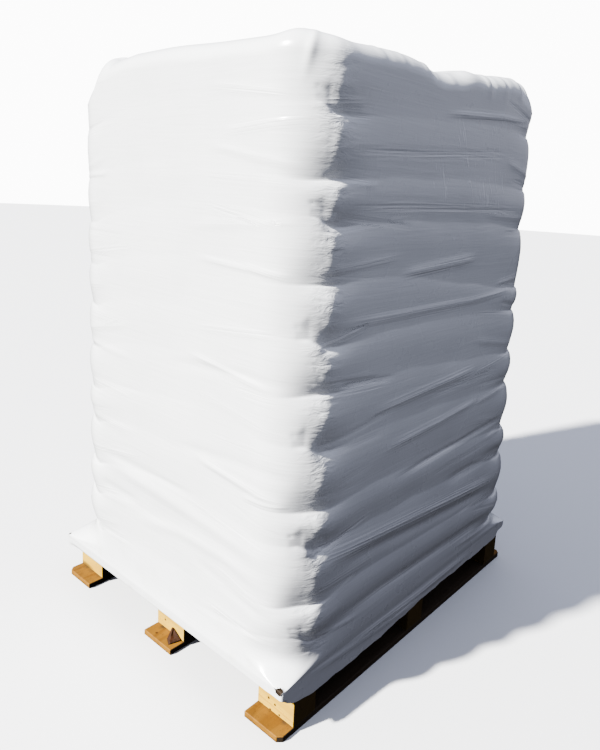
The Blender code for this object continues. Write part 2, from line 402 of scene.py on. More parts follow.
@dataclass(frozen=True)
class WoodFinish:
    """Sawn softwood: grain, knots, specks, nicks and stains, and painted shade where no sun falls."""

    name: str
    grain: Grain
    pale: Colour
    dark: Colour
    stain: Colour = (0.050, 0.020, 0.006)
    # The colour of the painted shade.
    painted_shade_colour: Colour = (0.016, 0.011, 0.007)
    stained: float = 0.4
    specked: float = 0.6
    # How far from the middle, along X, the load starts to shelter it, from where shade is painted on it.
    painted_shade_from: float = 0.70
    paler_ends: float = 0.0
    roughness: float = 0.68
    ring_count: float = 9.0
    saw_depth: float = 0.0016
    # How high dirt from the ground has got into it.
    soiled_below: float = 0.0
    nicks: tuple[Nick, ...] = ()

    def painted_shade_share(self, wood: Finish, place: Value) -> Value:
        """Where shade is painted on the wood: on the shaded faces, and under the load inward of where it
        starts to shelter it.

        Args:
            wood: The finish that the nodes are added to.
            place: The point of the surface.

        Returns:
            A share from 0 to 1.
        """
        facing = wood.facing()
        ragged = (wood.noise(place, 38.0, 4.0) - 0.5) * 0.06
        inward = (place.part("X").size() + ragged).step(self.painted_shade_from + 0.01, self.painted_shade_from - 0.02)
        upright = facing.part("Y").size().step(0.7, 0.5) * facing.part("Z").step(-0.5, -0.3)
        return wood.maths("MAXIMUM", facing.part("Y").step(-0.5, -0.68), inward * upright)

    def hollows(self, wood: Finish, place: Value, patches: Value) -> Value:
        """Where the wood has a knot or a nick.

        Args:
            wood: The finish that the nodes are added to.
            place: The point of the surface.
            patches: Noise that makes the nicks' edges ragged.

        Returns:
            A share from 0 to 1.
        """
        drawn = place * tuple(math.sqrt(reach) for reach in self.grain.value)
        cells = {"Vector": drawn, "Scale": 9.0}
        knot = wood.add("ShaderNodeTexVoronoi", {"feature": "F1"}, cells, "Distance")
        hollows = knot.step(0.16, 0.05) * 0.75
        for nick in self.nicks:
            away = place.distance(nick.place) * (1.0 / nick.reach)
            hollows = wood.maths("MAXIMUM", hollows, (away + patches).step(1.6, 1.0))
        return hollows

    def material(self) -> bpy.types.Material:
        """Build the material.

        Returns:
            The new material.
        """
        wood = Finish(self.name, {"IOR": 1.45, "Specular IOR Level": 0.25})
        place = wood.place()
        drawn = place * self.grain.value
        bend = wood.noise(drawn, 7.0, 2.0, 0.6)
        rings = ((bend * self.ring_count + wood.noise(drawn, 40.0, 2.0) * 0.5) * math.tau).sine()
        late_wood = rings.step(0.1, 1.0)
        fibres = wood.noise(drawn, 420.0, 3.0)
        blotches = wood.noise(place, 9.0, 4.0)
        patches = wood.noise(place, 26.0, 5.0, 0.4)
        specks = wood.noise(place, 260.0, 2.0).step(0.62, 0.68) * patches.step(0.40, 0.60)
        hollows = self.hollows(wood, place, patches)
        colour = wood.mix(late_wood * 0.45 + blotches.step(0.3, 0.8) * 0.35, self.pale, self.dark)
        colour = wood.mix(fibres.step(0.45, 0.75) * 0.30, colour, self.dark)
        ends = wood.facing().part("X").size().step(0.5, 0.9) * self.paler_ends
        colour = wood.mix(ends, colour, tuple(1.6 * part for part in self.pale))
        for share in (patches.step(0.56, 0.74) * self.stained, specks * self.specked, hollows):
            colour = wood.mix(share, colour, self.stain)
        if self.soiled_below:
            soiled = place.part("Z").step(self.soiled_below, 0.0) * patches.step(0.40, 0.52)
            colour = wood.mix(soiled * 0.8, colour, self.stain)
        # Painted shade on the faces towards -Y and under the load.
        colour = wood.mix(self.painted_shade_share(wood, place) * 0.93, colour, self.painted_shade_colour)
        roughness = fibres * 0.15 + blotches * 0.12 + (self.roughness - 0.12)
        relief = fibres * 0.5 + late_wood * 0.3 + patches * 0.2 - hollows * 0.5 - specks * 0.2
        return wood.dress(colour, roughness, wood.bump(relief, self.saw_depth))


def put(name: str, data: bpy.types.ID) -> bpy.types.Object:
    """Put a new object in the scene.

    Args:
        name: Its name.
        data: Its mesh, light or camera.

    Returns:
        The object.
    """
    placed = bpy.data.objects.new(name, data)
    bpy.context.scene.collection.objects.link(placed)
    return placed


def make_piece(
    name: str,
    points: np.ndarray,
    faces: list[tuple[int, ...]],
    material: bpy.types.Material,
    replaced: tuple[str, ...] = (),
) -> bpy.types.Object:
    """Make a smooth piece from points and faces, riding on the part.

    Args:
        name: The piece's name.
        points: Its points, three numbers each, in metres.
        faces: Its faces, as numbers of points.
        material: Its material.
        replaced: The CAD nodes that it stands for.

    Returns:
        The new object.
    """
    mesh = bpy.data.meshes.new(name)
    mesh.from_pydata(points.tolist(), [], faces)
    mesh.validate()
    mesh.materials.append(material)
    mesh.shade_smooth()
    piece = put(name, mesh)
    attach(piece, "root")
    if replaced:
        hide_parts(*replaced)
    return piece


def grid_faces(rows: int, columns: int, closed: bool = True) -> list[tuple[int, ...]]:
    """The faces of a grid of points, row by row.

    Args:
        rows: How many rows there are.
        columns: How many points a row has.
        closed: Whether a row's last point meets its first.

    Returns:
        Four-sided faces, turned outwards where rows rise and columns run anticlockwise.
    """
    faces = []
    for row in range(rows - 1):
        for column in range(columns if closed else columns - 1):
            after = (column + 1) % columns
            near, far = row * columns, (row + 1) * columns
            faces.append((near + column, near + after, far + after, far + column))
    return faces


def smooth(share: np.ndarray | float) -> np.ndarray | float:
    """Ease a share from 0 to 1 in and out, and hold it outside."""
    held = np.clip(share, 0.0, 1.0)
    return held * held * (3 - 2 * held)


def ramp(value: np.ndarray | float, span: Row) -> np.ndarray | float:
    """Ease from 0 at a span's first value to 1 at its last, and hold it outside."""
    return smooth((value - span[0]) / (span[1] - span[0]))


def hill(away: np.ndarray, reach: float) -> np.ndarray:
    """A round hill of height 1, from the distance to its top."""
    return np.exp(-((away / reach) ** 2))


def perlin(points: np.ndarray, waves: Row) -> np.ndarray:
    """Smooth noise from -1 to 1.

    Args:
        points: Points in metres, with three numbers in the last axis.
        waves: Waves in a metre along each axis.

    Returns:
        One number for each point.
    """
    flat = (points * np.array(waves)).reshape(-1, 3)
    values = [noise.noise(Vector(point)) for point in flat]
    return np.array(values).reshape(points.shape[:-1])


@dataclass(frozen=True)
class HoodCorner:
    """How the film lies at one corner of the load."""

    # The signs of its x and y.
    toward: tuple[int, int]
    # The load's corner radius at its foot and at its top.
    radii: tuple[float, float]
    seam_depth: float
    # How far apart the mesh's upright lines lie round the corner.
    column_spacing: float
    # How far the film's folds lie above the even layers, from the lowest to the highest.
    seam_shifts: Row
    # The relative depth of each fold, from the lowest to the highest.
    seam_weights: Row
    hem: float = 0.143
    # How far below the top the film starts to turn in, and how straight a slope it turns in by.
    shoulder: float = 0.058
    slope: float = 0.0


@dataclass(frozen=True)
class HoodSide:
    """How the film lies on the side that follows a corner, anticlockwise from above."""

    seam_depth: float
    # How much higher a fold runs in the middle of the side than at its corners.
    seam_arch: float
    widest_column: float


NEAR = HoodCorner(
    toward=(-1, -1),
    radii=(0.148, 0.150),
    seam_depth=0.020,
    column_spacing=0.0046,
    seam_shifts=(-0.011, -0.037, -0.020, -0.046, -0.023, -0.007, -0.024, -0.003, -0.001, -0.027, -0.013),
    seam_weights=(1.2, 0.9, 1.3, 0.9, 1.3, 0.9, 1.2, 0.8, 1.1, 0.8, 1.0),
    hem=0.136,
)
RIGHT = HoodCorner(
    toward=(1, -1),
    radii=(0.135, 0.160),
    seam_depth=0.018,
    column_spacing=0.0080,
    seam_shifts=(-0.041, -0.075, -0.060, -0.082, -0.048, -0.059, -0.040, -0.091, -0.014, -0.020, 0.028),
    seam_weights=(0.9, 1.0, 1.2, 1.1, 1.1, 0.8, 0.8, 0.6, 0.9, 0.6, 0.9),
    shoulder=0.100,
    slope=0.35,
)
FAR = HoodCorner(
    toward=(1, 1),
    radii=(0.140, 0.145),
    seam_depth=0.018,
    column_spacing=0.0095,
    seam_shifts=(-0.020, -0.030, -0.045, -0.030, -0.050, -0.035, -0.030, -0.045, -0.020, -0.035, -0.020),
    seam_weights=(1.1, 0.9, 1.2, 0.8, 1.1, 0.9, 1.2, 0.8, 1.0, 0.7, 0.9),
)
LEFT = HoodCorner(
    toward=(-1, 1),
    radii=(0.176, 0.152),
    seam_depth=0.015,
    column_spacing=0.0080,
    seam_shifts=(-0.004, -0.007, -0.040, -0.030, -0.056, -0.052, -0.048, -0.060, -0.059, -0.061, -0.047),
    seam_weights=(1.7, 1.0, 1.2, 1.2, 1.0, 1.1, 1.0, 0.7, 0.8, 0.6, 0.5),
    hem=0.116,
    shoulder=0.114,
    slope=0.65,
)
CORNERS = (NEAR, RIGHT, FAR, LEFT)
SHADED_SIDE = HoodSide(0.0048, 0.020, 0.0150)
HIDDEN_END = HoodSide(0.0070, 0.045, 0.046)
HIDDEN_SIDE = HoodSide(0.0080, 0.045, 0.046)
LIT_END = HoodSide(0.0016, 0.055, 0.021)
SIDES = (SHADED_SIDE, HIDDEN_END, HIDDEN_SIDE, LIT_END)


@dataclass(frozen=True)
class Crease:
    """A drawn line in the film of one side, as a ridge or, below 0 high, a furrow.

    Its points hold the place along the side, as x or y, and the height above the floor.
    """

    points: tuple[tuple[float, float], ...]
    height: float
    width: float
    # How strongly fine lines are drawn beside it, and how far they reach up and down.
    drawn: float = 0.0
    drawn_reach: float = 0.020
    # The share of its length over which each end fades.
    fade_share: float = 0.25

    def course(self, along: np.ndarray, z: np.ndarray) -> tuple[np.ndarray, np.ndarray]:
        """Where each point lies from the crease.

        Args:
            along: The places along the side.
            z: The heights above the floor.

        Returns:
            How far each point lies above the crease, and a share that fades at its ends.
        """
        places, heights = zip(*sorted(self.points))
        fade_run = self.fade_share * (places[-1] - places[0])
        fade = smooth((along - places[0]) / fade_run) * smooth((places[-1] - along) / fade_run)
        return z - np.interp(along, places, heights), fade


@dataclass(frozen=True)
class Pleat:
    """A short upright tuck in the film's shoulder over the shaded side."""

    x: float
    depth: float
    width: float
    drop: float
    lean: float = 0.10
    # The furrow beside it: its share of the depth, and how many widths away it lies.
    furrow_share: float = 0.9
    furrow_place: float = 1.9

    def relief(self, x: np.ndarray, below_top: np.ndarray) -> np.ndarray:
        """How far the pleat lifts the film at each point.

        Args:
            x: The places along the side.
            below_top: How far each point lies below the top.

        Returns:
            The lift in metres.
        """
        away = x - self.x - self.lean * below_top
        furrow = self.furrow_share * hill(away - self.furrow_place * self.width, self.width)
        tuck = hill(away, self.width) - furrow
        return self.depth * tuck * ramp(below_top, (self.drop, 0.0))


@dataclass(frozen=True)
class Tear:
    """A small torn hole where the film is drawn over a corner of the deck."""

    place: Row
    outward: Row
    half_long: float
    half_wide: float
    rim_height: float = 0.0011
    # Where the film is cut away and where its rim ends, as shares of the hole's outline.
    cut_share: float = 0.86
    rim_share: float = 1.30
    # How far the mesh is made finer round it, as a share of half its length.
    fine_share: float = 2.6
    # The waves of its outline: the height, how many go round, and where they start.
    ragged: tuple[Row, ...] = ((0.10, 3, 1.0), (0.06, 7, 0.0))

    def cut(self, shape: bmesh.types.BMesh) -> None:
        """Cut the hole out of the film.

        Args:
            shape: The film's mesh.
        """
        middle = Vector(self.place)
        outward = Vector(self.outward).normalized()
        level = outward.cross(Vector((0, 0, 1))).normalized()
        reach = self.fine_share * self.half_long

        def near(vertex: bmesh.types.BMVert) -> bool:
            """Whether a point lies round the hole."""
            return (vertex.co - middle).length < reach

        edges = [edge for edge in shape.edges if near(edge.verts[0]) and near(edge.verts[1])]
        bmesh.ops.subdivide_edges(shape, edges=edges, cuts=1, use_grid_fill=True)
        inside = []
        for vertex in shape.verts:
            if not near(vertex):
                continue
            offset = vertex.co - middle
            along = offset.dot(level)
            upward = (offset - level * along).length * math.copysign(1.0, offset.z)
            turn = math.atan2(upward, along)
            outline = 1 + sum(high * math.sin(count * turn + first) for high, count, first in self.ragged)
            share = math.hypot(along / self.half_long, upward / self.half_wide) / outline
            if share < self.cut_share:
                inside.append(vertex)
            elif share < self.rim_share:
                vertex.co = middle + offset / share + outward * self.rim_height
        bmesh.ops.delete(shape, geom=inside, context="VERTS")


@dataclass
class Layout:
    """The upright lines of the hood's mesh, round the load from the near corner."""

    corner: np.ndarray
    share: np.ndarray
    angle: np.ndarray
    around: np.ndarray
    length: float
    # The cosines between which a line starts to count with a side, and counts in full.
    facing_span: Row = (1.6 / 3, 2.6 / 3)

    def past(self, number: int) -> np.ndarray:
        """How far each line is past the middle of a corner's arc, with its sign."""
        middle = self.around[(self.corner == number) & (self.share == 0)].mean()
        return (self.around - middle + self.length / 2) % self.length - self.length / 2

    def beside(self, number: int, flat: float, reach: float) -> np.ndarray:
        """How near each line is to a corner.

        Args:
            number: The corner's number.
            flat: How far from the corner's middle it still counts as whole.
            reach: How far it fades beyond that.

        Returns:
            From 0 far away to 1 at the corner.
        """
        return hill(np.clip(np.abs(self.past(number)) - flat, 0, None), reach)

    def facing(self, number: int) -> np.ndarray:
        """How squarely each line faces the way that a side does, from 0 to 1."""
        outward = 1.5 * math.pi + number * math.pi / 2
        return ramp(np.cos(self.angle - outward), self.facing_span)

    def of_sides(self, values: Row) -> np.ndarray:
        """Give each line its side's value, blended over the corners.

        Args:
            values: One value for each side.

        Returns:
            One value for each line.
        """
        before = np.array(values)[(self.corner - 1) % 4]
        after = np.array(values)[self.corner]
        turned = (self.angle / (math.pi / 2)) % 1.0
        return np.where(self.share == 0, before + (after - before) * smooth(turned), after)


@dataclass(frozen=True)
class Hem:
    """The skirt's lower edge, under the deck's boards and drawn up at the corners."""

    under_ends: float = 0.131
    under_sides: float = 0.084
    # How much higher the sides' hem is toward the far end, and the x between which it rises.
    side_rise: float = 0.021
    side_rise_span: Row = (-0.30, 0.15)
    corner_reach_ends: float = 0.090
    corner_reach_sides: float = 0.045
    # The height of each small wave along the hem, and how fast it turns along x and y.
    flutter: tuple[Row, ...] = ((0.0018, 41.0, 33.0), (0.0012, 97.0, -113.0))
    end_flutter: float = 0.4
    # How far the film turns in under the ends, and the heights between which it does.
    tuck: float = 0.006
    tuck_span: Row = (0.134, 0.122)
    # The hem is that of an end where it is higher than this.
    end_hem_from: float = 0.120

    def height(self, x: np.ndarray, y: np.ndarray, deck_half: Row) -> np.ndarray:
        """The height of the hem.

        Args:
            x: The x of each point of the deck's edge.
            y: The y of each point.
            deck_half: Half the deck's length and width.

        Returns:
            The height under each point.
        """
        from_end = np.clip(deck_half[0] - np.abs(x), 0, None)
        from_side = np.clip(deck_half[1] - np.abs(y), 0, None)
        along_end = from_end < from_side
        under_sides = self.under_sides + self.side_rise * ramp(x, self.side_rise_span)
        lowest = np.where(along_end, self.under_ends, under_sides)
        at_corner = np.zeros_like(x)
        for corner in CORNERS:
            mine = (np.sign(x) == corner.toward[0]) & (np.sign(y) == corner.toward[1])
            at_corner = np.where(mine, corner.hem, at_corner)
        reach = np.where(along_end, self.corner_reach_ends, self.corner_reach_sides)
        drawn_up = (at_corner - lowest) * np.exp(-np.maximum(from_end, from_side) / reach)
        waves = sum(high * np.sin(x * turn_x + y * turn_y) for high, turn_x, turn_y in self.flutter)
        return lowest + drawn_up + waves * np.where(along_end, self.end_flutter, 1.0)

    def tucked(self, z: np.ndarray, hem: np.ndarray) -> np.ndarray:
        """How far the film turns in under the ends of the deck."""
        return self.tuck * ramp(z, self.tuck_span) * (hem > self.end_hem_from)


@dataclass(frozen=True)
class Top:
    """The film over the load's top, which rises and sinks with the sacks under it."""

    level: float = 1.823
    # The steps up along the shaded side: their height, and the x between which they rise.
    side_steps: tuple[tuple[float, Row], ...] = ((0.021, (0.01, 0.10)), (0.024, (0.13, 0.40)))
    step_span: Row = (0.35, -0.45)
    # The swells of the shaded side's edge and of the lit end's: the middle's x or y, the
    # height, below 0 for a dip, and the reach.
    side_swells: tuple[Row, ...] = ((-0.23, 0.004, 0.10), (-0.08, -0.017, 0.07), (-0.42, -0.007, 0.07))
    end_swells: tuple[Row, ...] = ((0.0, 0.006, 0.12), (-0.40, 0.010, 0.06))
    swell_span: Row = (0.0, -0.4)
    # The round swells: the middle's x and y, the height and the reach.
    round_swells: tuple[Row, ...] = ((0.66, -0.56, -0.045, 0.13), (-0.570, 0.318, 0.020, 0.026))
    # How steeply the top falls toward the left corner, from which y, and between which x.
    left_fall: float = 0.12
    left_fall_y: float = 0.175
    left_fall_span: Row = (-0.22, -0.50)
    sag: float = 0.004
    sag_waves: Row = (4.1, 4.1, 1.0)

    def height(self, x: np.ndarray, y: np.ndarray) -> np.ndarray:
        """The height of the film over the load.

        Args:
            x: The x of each point.
            y: The y of each point.

        Returns:
            The height at each point.
        """
        by_side, by_end = ramp(y, self.swell_span), ramp(x, self.swell_span)
        rise = self.sag * perlin(np.stack((x, y, np.zeros_like(x)), axis=-1), self.sag_waves)
        for high, span in self.side_steps:
            rise += high * ramp(x, span) * ramp(y, self.step_span)
        for middle, high, reach in self.side_swells:
            rise += high * hill(x - middle, reach) * by_side
        for middle, high, reach in self.end_swells:
            rise += high * hill(y - middle, reach) * by_end
        for middle_x, middle_y, high, reach in self.round_swells:
            rise += high * hill(np.hypot(x - middle_x, y - middle_y), reach)
        fallen = self.left_fall * np.clip(y - self.left_fall_y, 0, None)
        return self.level + rise - fallen * ramp(x, self.left_fall_span)


@dataclass(frozen=True)
class Pockets:
    """The pockets that the film sinks into at the near corner, over every second fold.

    All of it is placed by how far a point is past the middle of the near corner, round
    the load, and by how high it is above the fold.
    """

    # Where the pockets' tips lie, from the lowest pocket.
    tips: Row = (0.002, -0.012, -0.016, -0.018, 0.004, 0.006)
    width: float = 0.034
    slope: float = 0.155
    # The pocket's roof: its height at the tip, and how steeply it rises from there.
    rise: float = 0.032
    roof_slope: float = 0.9
    # Where a pocket opens above its fold, and where it closes past the corner.
    foot_span: Row = (-0.010, 0.004)
    far_span: Row = (0.090, 0.035)
    # The dent at a pocket's tip: its depth, its place, and its reach along and up.
    dent: float = 0.0022
    dent_past: float = 0.004
    dent_reaches: Row = (0.007, 0.0045)
    # The small level ripples of the lowest pocket: their place past the tip and above the fold.
    ripple_depth: float = 0.0011
    ripple_pitch: float = 0.015
    ripple_place: Row = (0.028, 0.016)
    ripple_reaches: Row = (0.034, 0.030)
    # How far a pocket's fold is lifted over the lit end, where it rises and where it falls again.
    lift: float = 0.024
    lift_span: Row = (0.070, 0.010)
    lift_until: float = -0.1
    lift_reach: float = 0.25
    # The share of a fold's depth that is left where the film bridges it, where the bridge
    # ends on the lit end, and where it starts: at a pocket's fold, and at one between two.
    bridge_share: float = 0.14
    bridge_end: Row = (-0.30, -0.55)
    bridge_starts: tuple[Row, Row] = ((0.026, 0.100), (-0.075, 0.050))

    def lifted(self, past: np.ndarray) -> np.ndarray:
        """How far the fold of a pocket is lifted toward the lit end."""
        beyond = np.clip(self.lift_until - past, 0, None)
        return self.lift * ramp(past, self.lift_span) * hill(beyond, self.lift_reach)

    def bridged(self, number: int, past: np.ndarray) -> np.ndarray:
        """How much of a fold's depth is left where the film bridges it on the lit end.

        Args:
            number: The fold's number, from the lowest.
            past: How far each point is past the middle of the near corner.

        Returns:
            The share of the depth, from 0 to 1.
        """
        left = self.bridge_share
        share = left + (1 - left) * ramp(past, self.bridge_starts[number % 2])
        return share + (1 - share) * ramp(past, self.bridge_end)

    def depth(self, number: int, above: np.ndarray, past: np.ndarray) -> np.ndarray:
        """How far the film sinks in at a pocket.

        Args:
            number: The fold's number, from the lowest.
            above: The height above the fold.
            past: How far each point is past the middle of the near corner.

        Returns:
            The depth in metres, which is 0 at a fold without a pocket.
        """
        if number % 2:
            return np.zeros_like(past)
        inward = past - self.tips[number // 2]
        over = above - self.rise
        roof = self.roof_slope * np.clip(inward, 0, self.width)
        hollow = np.clip(roof - np.clip(over, 0, None), 0, None)
        opened = ramp(above, self.foot_span) * ramp(past, self.far_span)
        dent = hill(inward - self.dent_past, self.dent_reaches[0]) * hill(over, self.dent_reaches[1])
        sunk = self.slope * hollow * opened + self.dent * dent
        if number == 0:
            ripples = self.ripple_depth * np.sin(math.tau * above / self.ripple_pitch)
            ripples = ripples * hill(inward - self.ripple_place[0], self.ripple_reaches[0])
            sunk = sunk + ripples * hill(above - self.ripple_place[1], self.ripple_reaches[1])
        return sunk


@dataclass(frozen=True)
class Ridge:
    """The soft upright ridge at the near corner of each layer, and the ear over the top one.

    Both are placed by how far a point is past the middle of the near corner.
    """

    past: float = 0.074
    width: float = 0.022
    height: float = 0.0036
    # It fades toward a fold this deep, and between these heights at the load's foot and head.
    fold_depth: float = 0.014
    foot_span: Row = (0.20, 0.25)
    head_span: Row = (1.76, 1.70)
    # The ear: the heights over which it grows, how it leans about its middle, and the place,
    # height and width of its ridge and its furrow.
    ear_span: Row = (1.69, 1.79)
    ear_middle: float = 1.80
    ear_lean: float = 0.20
    ear_lines: tuple[Row, ...] = ((-0.004, 0.0045, 0.012), (0.030, -0.0035, 0.026))

    def lift(self, past: np.ndarray, z: np.ndarray, depth: np.ndarray) -> np.ndarray:
        """How far the film is lifted.

        Args:
            past: How far each point is past the middle of the near corner.
            z: The heights of the points.
            depth: The depth of the folds there.

        Returns:
            The lift in metres.
        """
        bulging = ramp(depth, (self.fold_depth, 0.0)) * ramp(z, self.foot_span) * ramp(z, self.head_span)
        lift = self.height * hill(past - self.past, self.width) * bulging
        leaning = past - self.ear_lean * (z - self.ear_middle)
        for place, high, width in self.ear_lines:
            lift += ramp(z, self.ear_span) * high * hill(leaning - place, width)
        return lift


@dataclass
class Guide:
    """What the rows of the walls follow: one value for each upright line, or for each at a fold."""

    past: np.ndarray
    hem: np.ndarray
    crest: np.ndarray
    seams: np.ndarray
    depths: np.ndarray
    sharpness: np.ndarray
    rounding: np.ndarray
    gathered: np.ndarray
    shoulder: np.ndarray
    slope: np.ndarray


@dataclass
class Walls:
    """The rows of the walls, from the hem up: height, depth of fold, and how gathered the film is."""

    z: list[np.ndarray] = field(default_factory=list)
    depth: list[np.ndarray] = field(default_factory=list)
    gather: list[np.ndarray] = field(default_factory=list)

    def add(self, z: np.ndarray, depth: np.ndarray | float, gather: np.ndarray | float) -> None:
        """Add one row.

        Args:
            z: Its heights.
            depth: How deep it lies in a fold.
            gather: How gathered the film is there.
        """
        self.z.append(z)
        self.depth.append(depth + np.zeros_like(z))
        self.gather.append(gather + np.zeros_like(z))


@dataclass
class StretchHood:
    """The film over the load: a tube with a closed top, in folds over each layer."""

    finish: FilmFinish = FilmFinish("hood_film")
    hem: Hem = Hem()
    top: Top = Top()
    pockets: Pockets = Pockets()
    ridge: Ridge = Ridge()
    deck_top: float = 0.158
    deck_half: Row = (0.650, 0.550)
    deck_corner_radius: float = 0.008
    # How far the film lies outside the deck and the load.
    film_gap: float = 0.0026
    # How far the load stands back from the deck's edge, and how much farther at its top.
    load_setback: float = 0.0045
    load_taper: float = 0.011
    # How far the load is shifted on the deck, and the share of that which is gone at its top.
    load_shift: Row = (0.010, -0.012)
    upright_share: float = 0.45
    # How soon over the deck the corners and the sides come in to the load.
    flare_height: float = 0.021
    side_flare_height: float = 0.060
    # How far below the deck's top the skirt ends, and how far above it the folds fade in.
    skirt_drop: float = 0.008
    fold_fade: float = 0.03
    # How much rounder the corners are just over the skirt, at which height, and its reach.
    skirt_rounding: float = 0.048
    skirt_rounding_height: float = 0.200
    skirt_rounding_reach: float = 0.050
    # The heights of the folds, before each corner's own shifts.
    first_seam: float = 0.250
    layer_height: float = 0.140
    seam_count: int = 11
    # How far they wander up and down. The noise for it is read round a ring of this radius,
    # which moves on by this step from fold to fold.
    seam_wander: float = 0.007
    wander_ring: float = 3.0
    wander_step: float = 7.3
    wander_waves: Row = (0.3, 0.3, 6.0)
    # The share of a fold's depth on a side, at the lowest fold and at the highest.
    depth_shares: Row = (1.25, 0.42)
    # The share by which a fold's depth wanders, and the step between the folds' noise.
    depth_wander: float = 0.45
    depth_step: float = 3.7
    depth_waves: Row = (7.0, 1.0, 1.0)
    # How far from a corner's middle its folds stay as deep as there, how far that fades, and
    # the part of their depth that the sides' folds already give.
    corner_flat: float = 0.03
    corner_reach: float = 0.115
    corner_relief: float = 0.004
    shoulder_height: float = 0.058
    shoulder_depth: float = 0.066
    # How far from a corner's middle the shoulder stays as it is there, and how far that fades.
    shoulder_reaches: Row = (0.08, 0.09)
    # Half the load's middling width, of which the shoulder's depth is a share.
    middling_half: float = 0.6
    # The mesh's rows in the skirt, from there to the lowest fold, in each layer and in the shoulder.
    hem_rows: int = 8
    flare_rows: int = 30
    layer_rows: int = 21
    shoulder_rows: int = 13
    # How much closer together the rows lie at a fold than they would if spread evenly, the power
    # of their places over the skirt, and how fast the columns widen away from a corner.
    row_gather: float = 0.42
    flare_gather: float = 1.35
    column_growth: float = 0.12
    # The rings that close the top, as shares of its edge, and the shares over which they take
    # up the edge's own height.
    top_scales: Row = (0.985, 0.96, 0.92, 0.86, 0.78, 0.68, 0.57, 0.45, 0.33, 0.21, 0.10, 0.03)
    top_edge_span: Row = (0.6, 1.0)
    # The share of a layer's height where it bulges most, and the heights over which the lowest
    # and the highest layer round in.
    bulge_peak: float = 0.62
    lowest_bulge: float = 0.085
    highest_bulge: float = 0.100
    # The powers of the bulge under and over its peak, and how much less each is at a corner.
    lower_powers: Row = (1.05, 0.25)
    upper_powers: Row = (1.0, 0.48)
    # How far from a corner's middle the folds stay as sharp as there, and how far that fades.
    sharp_reaches: Row = (0.06, 0.10)
    # How much rounder they are past the near corner, how far past, and how far that reaches.
    rounder: float = 0.75
    rounder_past: float = 0.02
    rounder_reach: float = 0.16
    # The film is most gathered this far past the near corner's middle, and how far that reaches.
    gather_shift: float = 0.066
    gather_reach: float = 0.046
    # The share of that at the lowest fold, at a layer's foot, in the highest layer and in the
    # shoulder, and the shares of the way up over which it grows under the lowest fold and in a layer.
    lowest_gather: float = 0.8
    foot_gather: float = 0.50
    highest_gather: float = 0.45
    shoulder_gather: float = 0.3
    lowest_gather_span: Row = (0.35, 0.85)
    layer_gather_span: Row = (0.42, 0.82)
    # The shares of the way up from the skirt over which the lowest fold grows.
    lowest_fold_span: Row = (0.1, 0.5)
    # The height and the waves of the film's crumples, where it is gathered, and of its swells.
    crumple_height: float = 0.0020
    crumples: tuple[tuple[float, Row], ...] = ((1.0, (10.0, 10.0, 62.0)), (0.6, (30.0, 30.0, 100.0)))
    swell_height: float = 0.0022
    swell_waves: Row = (2.6, 2.6, 3.4)
    swell_span: Row = (0.17, 0.25)
    # The creases that fan out of each fold at each end of a side: how many, the most that one
    # stands out, its width, how far the lines beside it reach, and the spans from which each takes
    # its start from the deck's edge, its run, its place above the fold, its slope and how strongly
    # those lines are drawn.
    fans_at_a_fold: int = 2
    fan_height: float = 0.0026
    fan_width: float = 0.0070
    fan_drawn_reach: float = 0.012
    fan_starts: Row = (0.03, 0.09)
    fan_runs: Row = (0.16, 0.42)
    fan_places: Row = (-0.03, 0.05)
    fan_slopes: Row = (-0.10, 0.24)
    fan_strengths: Row = (0.2, 0.9)
